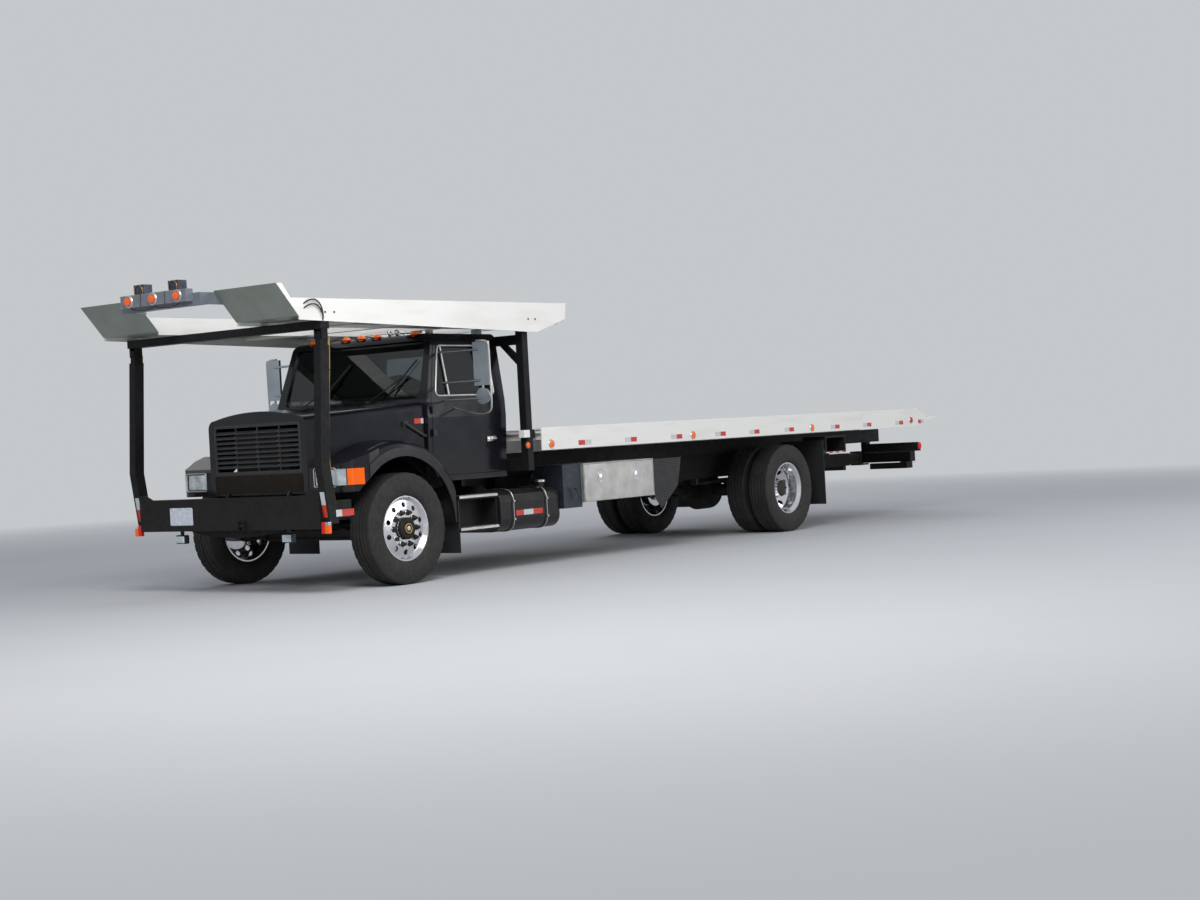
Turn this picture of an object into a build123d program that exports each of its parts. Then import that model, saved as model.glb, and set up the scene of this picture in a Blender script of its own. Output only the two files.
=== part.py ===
from build123d import *
import math
import os

# Rollback tow truck with a car rack over the cab. Millimetres.
# Stations: X runs forward from the front axle, Y to the truck's left, Z up from the ground.
# ship() moves every piece so that the origin lies under the middle of the whole truck.

# Wheels and axles
WHEELBASE = 6200
TYRE_D = 980
AXLE_BEAM_LOW = 395
AXLE_BEAM_H = 90
AXLE_BEAM_L = 100
AXLE_BEAM_HALF = 640
AXLE_WEB = 24
AXLE_FLANGE = 16
SEATS = ((520, 260), (-350, 430))
SEAT_FRONT = -950
SEAT_REAR = -1400
SEAT_UNDER = 335
SEAT_HEAD = 975
SEAT_OVERHANG = 60
SEAT_R = 35
TYRE_W = 255
RIM_D = 572
FRONT_TRACK = 2030
DUAL_OUTER_Y = 1080
DUAL_INNER_Y = 780
KINGPIN_Y = 880
KING_HALF = 55
KING_R = 44
FORK_HALF = 45
FORK_REACH = 95
AXLE_Z = TYRE_D / 2
REAR_X = -WHEELBASE
RUN_GAP = 0.3
STUDS = 10
HUB_R = 95
HUB_REACH = 140
DISC_T = 18
DISC_FLAT_R = 170
HAND_HOLE_R = 24
HAND_HOLE_PCR = 208
DUAL_DISH = 141
DRUM_R = 165

# Chassis frame
RAIL_Y = 432
RAIL_TOP = 915
RAIL_H = 265
RAIL_FLANGE = 80
RAIL_WALL = 8
HORN_T = 12
RAIL_FRONT = 620
HORN_BACK = 480
RAIL_REAR = REAR_X - 1600
RAIL_MEMBERS = (560, -1500, -2900, REAR_X + 2250, REAR_X - 650, REAR_X - 1500)
BEARING_X = REAR_X + 2250
MEMBER_L = 90
MEMBER_H = 60
SHAFT_Z = 785
SHAFT_R = 48
LEAF_T = 14

# Bumper and front posts
BUMPER_FRONT = 1065
BUMPER_BACK = 930
BUMPER_LOW = 560
BUMPER_TOP = 840
BUMPER_HALF = 1145
BUMPER_WALL = 10
POST_W = 80
POST_L = 100
POST_WALL = 8
POST_TOP_X = 978
POST_KNEE_X = 1045
POST_KNEE_Z = 1090
POST_FOOT_X = 975
POST_FOOT_Z = 600
POST_TOP_Z = 2085
RAM_GAP = RUN_GAP
EYE_R = 35
RAM_EYE_R = 44
PIN_R = 15

# Rack over the cab
RACK_HALF = BUMPER_HALF + POST_W + 25
RACK_FLOOR = 2320
RACK_PAN = 25
TRACK_DROP = 30
RACK_FRONT = 1280
RACK_REAR = -2242
RACK_TOP_FRONT = 2467
RACK_TOP_REAR = 2488
TRACK_IN = 500
RAIL_T = 12
LIP_X = 1513
LIP_Z = 2583
LIP_T = 14
LIP_SLOPE = (LIP_X - RACK_FRONT) / (LIP_Z - RACK_FLOOR)
CROSS_LOW = 2220
CROSS_X = 978
CROSS_L = 100
RACK_PIN_Z = 2170
RACK_HINGE_X = -1650
RACK_HINGE_Z = 2250
LAMP_BAR_X = 1660
LAMP_BAR_D = 80
LAMP_BAR_Z = 2500
LAMP_BAR_H = 105
LAMP_BAR_HALF = 415
LAMP_PITCH = 310
LAMP_R = 42
LAMP_BEAM_L = 90

# Rear posts behind the cab
HEAD_X = -1610
HEAD_L = 80
HEAD_OUT = BUMPER_HALF + POST_W - 20
HEAD_W = 80
HEAD_TOP = 2190
HEAD_BEAM_H = 90

# Cab
CAB_FRONT = -500
CAB_BACK = -1585
CAB_HALF = 980
CAB_SILL = RAIL_TOP
CAB_BELT = 1590
CAB_HEADER_X = -700
CAB_HEADER = 2225
CAB_ROOF = 2250
CAB_ROOF_EDGE = 2215
CAB_LEAN = 86
CAB_WALL = 45
ROOF_R = 70
HEADER_R = 90
TUNNEL_GAP = 18
GLASS_T = 6
DOOR_FRONT = -562
DOOR_REAR = -1500
DOOR_LOW = 925
DOOR_TOP = 2150
DOOR_RAKE = 150
DOOR_GAP = 6
DOOR_ARCH = 105
DOOR_HINGE_X = -555
DOOR_HINGE_Y = 991
DOOR_HINGE_R = 10
DOOR_HINGE_Z = (1310, 1520)
WINDOW_FRONT = -628
WINDOW_REAR = -1440
WINDOW_LOW = 1645
WINDOW_TOP = 2105
WINDOW_R = 45
SCREEN_LOW = 1630
SCREEN_TOP = 2160
SCREEN_LOW_HALF = 868
SCREEN_TOP_HALF = 832
REAR_WINDOW_HALF = 520
REAR_WINDOW_LOW = 1680
REAR_WINDOW_TOP = 2060

# Hood with its fenders
HOOD_NOSE = 670
HOOD_REAR = -493
HOOD_NOSE_HALF = 620
HOOD_REAR_HALF = 930
HOOD_NOSE_TOP = 1520
HOOD_REAR_TOP = 1595
HOOD_NOSE_CROWN = 60
HOOD_REAR_CROWN = 30
HOOD_SHOULDER = 75
HOOD_LOW = 845
HOOD_WALL = 14
FENDER_OUT = 1130
FENDER_R = 710
CREASE_R = 782
CREASE_Y = 1005
ARCH_R = 632
WHEELHOUSE_R = 655
FENDER_TAIL_IN = 992
FENDER_TAIL_X = -650
FENDER_FRONT_Z = 845
POD_TOP = 1090
POD_IN = 560
POD_BACK = 300
LAMP_IN = 695
LAMP_OUT = 945
LAMP_LOW = 900
LAMP_TOP = 1050
LAMP_PLAY = 5
SIGNAL_T = 6
GRILLE_HALF = 555
GRILLE_LOW = 1030
GRILLE_TOP = 1475
GRILLE_RIM = 28
GRILLE_BARS = 8
HOOD_PIVOT_X = 820
HOOD_PIVOT_Z = 620
HOOD_ARM_IN = 380
HOOD_ARM_OUT = 400
HINGE_PIN_R = 12
HINGE_GAP = 3

# Bed: subframe that tilts, deck that slides
BED_HALF = 1250
BED_FRONT = -1770
BED_REAR = REAR_X - 2975
BED_TIP = REAR_X - 3437
BED_TOP = 1310
BED_RAIL_H = 215
BED_FLOOR_T = 18
BED_FLOOR = 1275
BED_MEMBER_H = 62
BEAM_Y = 440
BEAM_W = 100
SUB_FRONT = -1900
SUB_REAR = REAR_X - 3360
SUB_TOP = 1075
SUB_LOW = RAIL_TOP + RUN_GAP
TILT_X = RAIL_REAR - 80
TILT_Z = 865
TILT_HINGE_R = 28
SLIDE_HEAD = -2150
SLIDE_CAP = 95
SLIDE_MOUTH = SLIDE_HEAD - 4030

# Tilt cylinders, between the frame rails
TILT_CYL_Y = 250
TILT_BASE_X = REAR_X + 750
TILT_BASE_Z = 700
TILT_EYE_X = REAR_X + 2050
TILT_EYE_Z = 985
CYL_R = 55
TILT_PIN_R = 25
TILT_EYE_HALF = 40
TILT_CHEEK = 14
TILT_MEMBER_X = TILT_BASE_X - 110
EYE_MEMBER_X = TILT_EYE_X + 300
SUB_MEMBERS = (-1950, SLIDE_HEAD - 45, -2900, EYE_MEMBER_X, REAR_X + 500, REAR_X - 500, TILT_X,
               REAR_X - 3300)
ROD_R = 32

# Wheel lift at the tail
LIFT_PIN_X = REAR_X - 2600
LIFT_PIN_Z = 700
BOOM_SIZE = 160
BOOM_WALL = 12
BOOM_REAR = REAR_X - 3300
STINGER_SIZE = BOOM_SIZE - 2 * BOOM_WALL - 2 * RUN_GAP
CROSSBAR_X = REAR_X - 3740
CROSSBAR_HALF = 760
CROSSBAR_SIZE = 130
CROSSBAR_PIN_R = 24
BOOM_PIN_R = 25
TAIL_LAMP_X = REAR_X - 3050

# Side equipment
STEP_FRONT = -705
STEP_REAR = -1235
STEP_LOW = 400
STEP_HIGH = 690
STEP_DEPTH = 190
TANK_FRONT = -1256
TANK_REAR = -2126
TANK_LOW = 360
TANK_TOP = 750
TANK_IN = 520
TANK_OUT = 1130
TANK_R = 120
BOX_FRONT = -2440
BOX_REAR = -3600
BOX_LOW = 565
BOX_TOP = 940
BOX_IN = 740
BOX_OUT = 1200
BOX_WALL = 20
BOX_HINGE_R = 7
TOOL_DOOR_T = 20
FLAP_X = REAR_X - TYRE_D / 2 - 270
LIGHT_BOX_X = FLAP_X - 70
LIGHT_BOX_L = 460
FLAP_LOW = 260

FRONT_REACH = LAMP_BAR_X + LAMP_BAR_D + LAMP_R / 2
REAR_REACH = CROSSBAR_X - CROSSBAR_SIZE / 2
AXLE_X = -(FRONT_REACH + REAR_REACH) / 2


def block(x0, x1, y0, y1, z0, z1):
    """Box between two corners."""
    return Pos((x0 + x1) / 2, (y0 + y1) / 2, (z0 + z1) / 2) * Box(x1 - x0, y1 - y0, z1 - z0)


def outline(points, radius=0.0):
    """Flat face inside a closed run of points, its corners rounded."""
    face = make_face(Polyline(*points, close=True))
    if radius:
        face = fillet(face.vertices(), radius)
    return face


def side_plate(points, y0, y1, radius=0.0):
    """Outline in X and Z, made solid from y0 to y1."""
    face = outline([(x, y0, z) for x, z in points], radius)
    return extrude(face, amount=y1 - y0, dir=(0, 1, 0))


def cross_plate(points, x0, x1, radius=0.0):
    """Outline in Y and Z, made solid from x0 to x1."""
    face = outline([(x0, y, z) for y, z in points], radius)
    return extrude(face, amount=x1 - x0, dir=(1, 0, 0))


def channel(x, y0, y1, z0, z1, width, wall):
    """Channel bar across the truck, open to the rear."""
    half = width / 2
    return side_plate([(x - half, z0), (x + half, z0), (x + half, z1), (x - half, z1), (x - half, z1 - wall),
                       (x + half - wall, z1 - wall), (x + half - wall, z0 + wall), (x - half, z0 + wall)],
                      y0, y1)


def rod(start, end, radius, bore=0.0):
    """Round bar or tube between two points."""
    start, end = Vector(*start), Vector(*end)
    run = end - start
    plane = Plane(origin=start, z_dir=run.normalized())
    bar = Solid.make_cylinder(radius, run.length, plane)
    if bore:
        bar = bar - Solid.make_cylinder(bore, run.length, plane)
    return bar


def box_tube(x0, x1, y0, y1, z0, z1, wall, along):
    """Square tube, open at both ends, along X, Y or Z."""
    grow = {"X": (0, wall, wall), "Y": (wall, 0, wall), "Z": (wall, wall, 0)}[along]
    inner = block(x0 + grow[0], x1 - grow[0], y0 + grow[1], y1 - grow[1], z0 + grow[2], z1 - grow[2])
    return block(x0, x1, y0, y1, z0, z1) - inner


def both_sides(shape):
    """A piece of the left side with its mirror image."""
    return [shape, mirror(shape, about=Plane.XZ)]


def fused(shapes):
    """Join a list of touching shapes."""
    whole = shapes[0]
    for extra in shapes[1:]:
        whole = whole + extra
    return whole


def ship(node, *shapes):
    """Write one node, with the truck's middle at the origin."""
    solids = []
    for shape in shapes:
        solids += (Pos(AXLE_X, 0, 0) * shape).solids()
    export_step(Compound(solids), f"parts/{node}.step")


def frame_rails():
    """The two channel rails, with the ears of the tilt hinge at their ends."""
    low = RAIL_TOP - RAIL_H
    rails = []
    for side in (1, -1):
        outer = side * RAIL_Y
        inner = side * (RAIL_Y - RAIL_FLANGE)
        rail = block(RAIL_REAR, RAIL_FRONT, min(outer, inner), max(outer, inner), low, RAIL_TOP)
        web = side * (RAIL_Y - RAIL_WALL)
        hollow = block(RAIL_REAR, RAIL_FRONT, min(web, inner), max(web, inner),
                       low + RAIL_WALL, RAIL_TOP - RAIL_WALL)
        ear = block(TILT_X - 40, RAIL_REAR, min(outer, inner), max(outer, inner), TILT_Z - 40, TILT_Z + 35)
        rails.append(rail - hollow + ear)
    return rails


def tilt_base():
    """Cheeks and pins of the tilt cylinders, on their own frame member."""
    low = RAIL_TOP - RAIL_H + RAIL_WALL
    reach = RAIL_Y - RAIL_WALL
    front = TILT_MEMBER_X + MEMBER_L / 2
    pieces = [box_tube(TILT_MEMBER_X - MEMBER_L / 2, front, -reach, reach, low, low + MEMBER_H, RAIL_WALL,
                       "Y")]
    for side in (1, -1):
        for y in (TILT_CYL_Y - TILT_EYE_HALF - RUN_GAP - TILT_CHEEK, TILT_CYL_Y + TILT_EYE_HALF + RUN_GAP):
            y0, y1 = sorted((side * y, side * (y + TILT_CHEEK)))
            pieces.append(side_plate([(front, low), (TILT_BASE_X + 45, low),
                                      (TILT_BASE_X + 45, TILT_BASE_Z + 45),
                                      (TILT_BASE_X - 45, TILT_BASE_Z + 45),
                                      (front, low + MEMBER_H)], y0, y1))
        span = TILT_EYE_HALF + RUN_GAP + TILT_CHEEK
        pieces.append(rod((TILT_BASE_X, side * (TILT_CYL_Y - span), TILT_BASE_Z),
                          (TILT_BASE_X, side * (TILT_CYL_Y + span), TILT_BASE_Z), TILT_PIN_R))
    return fused(pieces)


def frame_members():
    """Cross members between the rails, the tilt hinge pin and the front horns."""
    low = RAIL_TOP - RAIL_H + RAIL_WALL
    reach = RAIL_Y - RAIL_WALL
    members = []
    for x in RAIL_MEMBERS:
        members.append(box_tube(x - MEMBER_L / 2, x + MEMBER_L / 2, -reach, reach, low, low + MEMBER_H,
                                RAIL_WALL, "Y"))
    members.append(tilt_base())
    members.append(rod((TILT_X, -RAIL_Y + RAIL_FLANGE, TILT_Z), (TILT_X, RAIL_Y - RAIL_FLANGE, TILT_Z),
                       TILT_HINGE_R))
    for side in (1, -1):
        y0, y1 = sorted((side * RAIL_Y, side * (RAIL_Y + HORN_T)))
        horn = block(HORN_BACK, BUMPER_FRONT - BUMPER_WALL, y0, y1, BUMPER_LOW + BUMPER_WALL,
                     BUMPER_TOP - BUMPER_WALL)
        x, z = HOOD_PIVOT_X, HOOD_PIVOT_Z
        horn += rod((x, side * (HOOD_ARM_OUT + HINGE_GAP), z), (x, side * RAIL_Y, z), 22)
        horn += rod((x, side * (HOOD_ARM_IN - 6), z), (x, side * RAIL_Y, z), HINGE_PIN_R)
        members.append(horn)
    return members


def bumper():
    """Channel bumper with raised ends, and its returns along the sides."""
    beam = block(BUMPER_BACK, BUMPER_FRONT, -BUMPER_HALF, BUMPER_HALF, BUMPER_LOW, BUMPER_TOP)
    beam -= block(BUMPER_BACK, BUMPER_FRONT - BUMPER_WALL, -BUMPER_HALF + BUMPER_WALL,
                  BUMPER_HALF - BUMPER_WALL,
                  BUMPER_LOW + BUMPER_WALL, BUMPER_TOP - BUMPER_WALL)
    ears = []
    for side in (1, -1):
        ear = cross_plate([(side * BUMPER_HALF, BUMPER_TOP), (side * BUMPER_HALF, BUMPER_TOP + 45),
                           (side * (BUMPER_HALF - 90), BUMPER_TOP + 45),
                           (side * (BUMPER_HALF - 190), BUMPER_TOP)],
                          BUMPER_FRONT - BUMPER_WALL, BUMPER_FRONT)
        ears.append(ear)
    x, low = BUMPER_BACK + 20, BUMPER_LOW - 40
    edge = [Line((x, -430, low), (x, -620, BUMPER_LOW)), Line((x, -620, BUMPER_LOW), (x, 620, BUMPER_LOW)),
            Line((x, 620, BUMPER_LOW), (x, 430, low)),
            ThreePointArc((x, 430, low), (x, 0, low - 30), (x, -430, low))]
    apron = extrude(make_face(edge), amount=12, dir=(1, 0, 0))
    return fused([beam, apron] + ears)


def post_path():
    """Points of a front post in X and Z: foot, knee, top."""
    return (POST_FOOT_X, POST_FOOT_Z), (POST_KNEE_X, POST_KNEE_Z), (POST_TOP_X, POST_TOP_Z)


def post_tube(side):
    """Cranked front post, hollow above its knee for the ram."""
    foot, knee, top = post_path()
    half = POST_L / 2
    y0 = side * (BUMPER_HALF + POST_W / 2) - POST_W / 2
    outline = [(foot[0] - half, foot[1]), (foot[0] + half, foot[1]), (knee[0] + half, knee[1]),
               (top[0] + half, top[1]), (top[0] - half, top[1]), (knee[0] - half, knee[1])]
    tube = side_plate(outline, y0, y0 + POST_W)
    inner = half - POST_WALL
    bore = side_plate([(knee[0] - inner, knee[1]), (knee[0] + inner, knee[1]),
                       (top[0] + inner, top[1]), (top[0] - inner, top[1])],
                      y0 + POST_WALL, y0 + POST_W - POST_WALL)
    return tube - bore


def front_posts():
    """Both posts, with the side returns of the bumper at their feet."""
    posts = []
    for side in (1, -1):
        y0 = side * BUMPER_HALF
        y1 = side * (BUMPER_HALF + 8)
        arm = block(700, POST_FOOT_X - 30, min(y0, y1), max(y0, y1), 650, 790)
        posts.append(fused([post_tube(side), arm]))
    return posts


def rack_rams():
    """Inner tubes that slide in the front posts, each with a slotted eye."""
    _, knee, top = post_path()
    lean = (top[0] - knee[0]) / (top[1] - knee[1])
    rams = []
    for side in (1, -1):
        half = POST_L / 2 - POST_WALL - RAM_GAP
        width = POST_W - 2 * (POST_WALL + RAM_GAP)
        y0 = side * (BUMPER_HALF + POST_W / 2) - width / 2
        start_z, end_z = knee[1] + 90, top[1] + 45
        start_x = knee[0] + lean * (start_z - knee[1])
        end_x = knee[0] + lean * (end_z - knee[1])
        ram = side_plate([(start_x - half, start_z), (start_x + half, start_z), (end_x + half, end_z),
                          (end_x + 0.7 * EYE_R, RACK_PIN_Z - 5), (end_x - 0.7 * EYE_R, RACK_PIN_Z - 5),
                          (end_x - half, end_z)], y0, y0 + width)
        eye = rod((CROSS_X, y0, RACK_PIN_Z), (CROSS_X, y0 + width, RACK_PIN_Z), RAM_EYE_R)
        slot = block(CROSS_X - 20, CROSS_X + 30, y0, y0 + width, RACK_PIN_Z - PIN_R - RUN_GAP,
                     RACK_PIN_Z + PIN_R + RUN_GAP)
        rams.append(ram + eye - slot)
    return rams


def rear_posts():
    """Frame behind the cab that carries the rear of the rack."""
    x0, x1 = HEAD_X - HEAD_L, HEAD_X
    pieces = []
    for side in (1, -1):
        ya, yb = side * (HEAD_OUT - HEAD_W), side * HEAD_OUT
        pieces.append(block(x0, x1, min(ya, yb), max(ya, yb), RAIL_TOP, HEAD_TOP))
        for edge in (HEAD_OUT - HEAD_W, HEAD_OUT - 17):
            ear = block(x0, x1, min(side * edge, side * (edge + 17)), max(side * edge, side * (edge + 17)),
                        HEAD_TOP, RACK_HINGE_Z)
            tip = rod((RACK_HINGE_X, side * edge, RACK_HINGE_Z),
                      (RACK_HINGE_X, side * (edge + 17), RACK_HINGE_Z),
                      EYE_R)
            pieces += [ear, tip]
        pieces.append(rod((RACK_HINGE_X, side * (HEAD_OUT - HEAD_W), RACK_HINGE_Z),
                          (RACK_HINGE_X, side * HEAD_OUT, RACK_HINGE_Z), PIN_R))
        pieces.append(cross_plate([(side * (HEAD_OUT - HEAD_W), 1900), (side * (HEAD_OUT - HEAD_W), 1980),
                                   (side * 985, HEAD_TOP - HEAD_BEAM_H),
                                   (side * 915, HEAD_TOP - HEAD_BEAM_H)],
                                  x0 + 15, x1 - 15))
    pieces.append(block(x0, x1, -HEAD_OUT + HEAD_W, HEAD_OUT - HEAD_W, HEAD_TOP - HEAD_BEAM_H, HEAD_TOP))
    pieces.append(block(x0, x1, -HEAD_OUT + HEAD_W, HEAD_OUT - HEAD_W, RAIL_TOP, RAIL_TOP + 110))
    for side in (1, -1):
        y0, y1 = sorted((side * (HEAD_OUT - 105), side * (HEAD_OUT - 15)))
        pieces.append(block(x0 - 50, x0, y0, y1, 1215, 1295))
    return fused(pieces)


def rack_rail():
    """Tapered outer rail of the rack, left side, up to the tip of the lip."""
    front = RACK_FRONT - LIP_T / 2
    return side_plate([(RACK_REAR, RACK_TOP_REAR), (RACK_REAR + 27, 2335), (RACK_REAR + 460, 2208),
                       (front, 2289),
                       (front, RACK_FLOOR), (LIP_X - LIP_T, LIP_Z), (LIP_X - LIP_T - 50, LIP_Z),
                       (LIP_X - 153, RACK_TOP_FRONT)], RACK_HALF - RAIL_T, RACK_HALF)


def rack_track():
    """Wheel pan of the left side with its inner rail and turned-up lip."""
    pan = block(RACK_REAR + 20, RACK_FRONT, TRACK_IN, RACK_HALF - RAIL_T, RACK_FLOOR, RACK_FLOOR + RACK_PAN)
    front = RACK_FRONT - LIP_T / 2
    inner = side_plate([(RACK_REAR + 20, 2440), (RACK_REAR + 20, RACK_FLOOR - TRACK_DROP),
                        (front, RACK_FLOOR - TRACK_DROP),
                        (front, RACK_FLOOR), (front + LIP_SLOPE * (2440 - RACK_FLOOR), 2440)],
                       TRACK_IN, TRACK_IN + RAIL_T)
    lip = side_plate([(RACK_FRONT - 60, RACK_FLOOR), (RACK_FRONT, RACK_FLOOR), (LIP_X, LIP_Z),
                      (LIP_X - LIP_T, LIP_Z),
                      (RACK_FRONT - LIP_T + LIP_SLOPE * RACK_PAN, RACK_FLOOR + RACK_PAN),
                      (RACK_FRONT - 60, RACK_FLOOR + RACK_PAN)], TRACK_IN, RACK_HALF)
    return fused([pan, inner, rack_rail(), lip])


def rack_tracks():
    """Both tracks, the cross bars that join them, and the hinge lugs."""
    pieces = both_sides(rack_track())
    for x in (-2100, -1250, -450, 350):
        pieces.append(block(x - 40, x + 40, -RACK_HALF + RAIL_T, RACK_HALF - RAIL_T, RACK_FLOOR - TRACK_DROP,
                            RACK_FLOOR))
    for side in (1, -1):
        mid = HEAD_OUT - HEAD_W / 2
        lug_half = HEAD_W / 2 - 17 - 3
        lug = block(RACK_HINGE_X - 25, RACK_HINGE_X + 25, side * mid - lug_half, side * mid + lug_half,
                    RACK_HINGE_Z, RACK_FLOOR)
        lug += rod((RACK_HINGE_X, side * mid - lug_half, RACK_HINGE_Z),
                   (RACK_HINGE_X, side * mid + lug_half, RACK_HINGE_Z), 30)
        lug -= rod((RACK_HINGE_X, side * mid - lug_half, RACK_HINGE_Z),
                   (RACK_HINGE_X, side * mid + lug_half, RACK_HINGE_Z), PIN_R + 1)
        pieces.append(lug)
    return fused(pieces)


def rack_beam():
    """Crossbeam under the tracks, with the ears and pins of the two rams."""
    beam = block(CROSS_X - CROSS_L / 2, CROSS_X + CROSS_L / 2, -RACK_HALF + RAIL_T, RACK_HALF - RAIL_T,
                 CROSS_LOW, RACK_FLOOR - TRACK_DROP)
    pieces = [beam]
    ram_half = POST_W / 2 - POST_WALL - RAM_GAP
    centre = BUMPER_HALF + POST_W / 2
    for side in (1, -1):
        for y in (centre - ram_half - 3 - 12, centre + ram_half + 3):
            ear = block(CROSS_X - EYE_R, CROSS_X + EYE_R, min(side * y, side * (y + 12)),
                        max(side * y, side * (y + 12)), RACK_PIN_Z - EYE_R, CROSS_LOW)
            pieces.append(ear)
        pieces.append(rod((CROSS_X, side * (centre - ram_half - 3), RACK_PIN_Z),
                          (CROSS_X, side * (centre + ram_half + 3), RACK_PIN_Z), PIN_R))
    return fused(pieces)


def rack_lamps():
    """Lamp bar across the rack's front, with the beam that carries it."""
    x0, z0 = LAMP_BAR_X, LAMP_BAR_Z
    back = x0 - LAMP_BEAM_L
    low, high = z0 - 30, z0 + 70
    beam = box_tube(back, x0, -TRACK_IN, TRACK_IN, low, high, 6, "Y")
    low_x = RACK_FRONT - LIP_T + LIP_SLOPE * (low - RACK_FLOOR)
    high_x = RACK_FRONT - LIP_T + LIP_SLOPE * (high - RACK_FLOOR)
    arms = []
    for side in (1, -1):
        y0, y1 = sorted((side * TRACK_IN, side * (TRACK_IN - 10)))
        arms.append(side_plate([(x0, low), (x0, high), (high_x, high), (low_x, low)], y0, y1))
    bar = block(x0, x0 + LAMP_BAR_D, -LAMP_BAR_HALF, LAMP_BAR_HALF, z0, z0 + LAMP_BAR_H)
    lamps = []
    for y in (-LAMP_PITCH, 0, LAMP_PITCH):
        lamps.append(rod((x0 + LAMP_BAR_D, y, z0 + LAMP_BAR_H / 2),
                         (x0 + LAMP_BAR_D + LAMP_R / 2, y, z0 + LAMP_BAR_H / 2), LAMP_R))
    boxes = []
    for y in (-220, 220):
        boxes.append(block(x0 - 55, x0 + 40, y - 62, y + 62, z0 + LAMP_BAR_H, z0 + LAMP_BAR_H + 85))
    lower = block(x0 - 55, x0, -300, 300, high, z0 + LAMP_BAR_H)
    return fused([beam, bar, lower] + arms + lamps + boxes)


def axles():
    """Front I-beam axle and rear drive axle."""
    low, high = AXLE_BEAM_LOW, AXLE_BEAM_LOW + AXLE_BEAM_H
    half, reach = AXLE_BEAM_L / 2, AXLE_BEAM_HALF
    beam = block(-half, half, -reach, reach, low, high)
    for x0, x1 in ((-half, -AXLE_WEB / 2), (AXLE_WEB / 2, half)):
        beam -= block(x0, x1, -reach, reach, low + AXLE_FLANGE, high - AXLE_FLANGE)
    ends = []
    for side in (1, -1):
        ends.append(cross_plate([(side * reach, low), (side * reach, high),
                                 (side * (KINGPIN_Y - 80), AXLE_Z + 50),
                                 (side * (KINGPIN_Y - 30), AXLE_Z + 50),
                                 (side * (KINGPIN_Y - 30), AXLE_Z - 50),
                                 (side * (KINGPIN_Y - 80), AXLE_Z - 50)], -40, 40))
        boss = rod((0, side * KINGPIN_Y, AXLE_Z - KING_HALF), (0, side * KINGPIN_Y, AXLE_Z + KING_HALF),
                   KING_R)
        ends.append(boss)
    front = fused([beam] + ends)
    housing = Pos(REAR_X, 0, AXLE_Z) * Rot(0, 90, 0) * Cylinder(215, 220)
    reach = DUAL_INNER_Y - HUB_REACH - RUN_GAP
    tube = rod((REAR_X, -reach, AXLE_Z), (REAR_X, reach, AXLE_Z), 70)
    nose = rod((REAR_X + 100, 0, AXLE_Z), (REAR_X + 380, 0, AXLE_Z + 20), 90)
    return [front, fused([housing, tube, nose])]


def leaf(x, half, eye_z, seat_z, thick, y0, y1):
    """One bent leaf, thick in the middle, between two ends at eye_z."""
    top = ThreePointArc((x - half, y0, eye_z + thick), (x, y0, seat_z + thick),
                        (x + half, y0, eye_z + thick))
    low = ThreePointArc((x - half, y0, eye_z), (x, y0, seat_z), (x + half, y0, eye_z))
    ends = [Line((x + s * half, y0, eye_z), (x + s * half, y0, eye_z + thick)) for s in (1, -1)]
    return extrude(make_face([top, low] + ends), amount=y1 - y0, dir=(0, 1, 0))


def leaf_springs():
    """Leaf packs under the rails, with their shackles and the blocks that seat them on the axles."""
    packs = []
    low = RAIL_TOP - RAIL_H
    y0 = RAIL_Y - RAIL_FLANGE
    # middle, half length, top of the axle, leaves
    for x, half, axle_top, count in ((0, 700, AXLE_Z - 5, 3), (REAR_X, 740, AXLE_Z + 70, 4)):
        eye = low - 62
        seat = axle_top + 14
        pieces = [block(x - 70, x + 70, y0, RAIL_Y, axle_top, seat + LEAF_T)]
        for i in range(count):
            share = 1 - 0.24 * i
            rise = (eye - seat) * (1 - share ** 2)
            pieces.append(leaf(x, half * share, eye - rise + i * LEAF_T, seat + i * LEAF_T, LEAF_T, y0,
                               RAIL_Y))
        for end in (x - half + 25, x + half - 25):
            pieces.append(rod((end, y0, eye + LEAF_T), (end, RAIL_Y, eye + LEAF_T), 24))
            pieces.append(block(end - 22, end + 22, y0, RAIL_Y, eye + LEAF_T, low))
        packs += both_sides(fused(pieces))
    return packs


def knuckle(side):
    """Steering knuckle: forked about the axle boss, with the spindle."""
    y = side * KINGPIN_Y
    half, reach, jaw = FORK_HALF, FORK_REACH, KING_HALF + RUN_GAP
    fork = block(-half, half, y - half, y + half, AXLE_Z - reach, AXLE_Z + reach)
    fork = fillet(fork.edges().filter_by(Axis.Z), 20)
    fork -= block(-60, 60, y - 60, y + 60, AXLE_Z - jaw, AXLE_Z + jaw)
    outer = y + side * (KING_R + 3)
    plate = block(-half, half, min(outer, outer + side * 25), max(outer, outer + side * 25),
                  AXLE_Z - reach, AXLE_Z + reach)
    y0, y1 = sorted((y + side * 20, outer + side * 25))
    bridges = [block(-half, half, y0, y1, AXLE_Z + jaw, AXLE_Z + reach),
               block(-half, half, y0, y1, AXLE_Z - reach, AXLE_Z - jaw)]
    spindle = rod((0, outer, AXLE_Z), (0, y + side * 190, AXLE_Z), 38)
    arm = side_plate([(-40, AXLE_Z - 90), (-190, AXLE_Z - 90), (-190, AXLE_Z - 68), (-40, AXLE_Z - 58)],
                     y - 20, y + 20)
    return fused([fork, plate, spindle, arm] + bridges)


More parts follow.
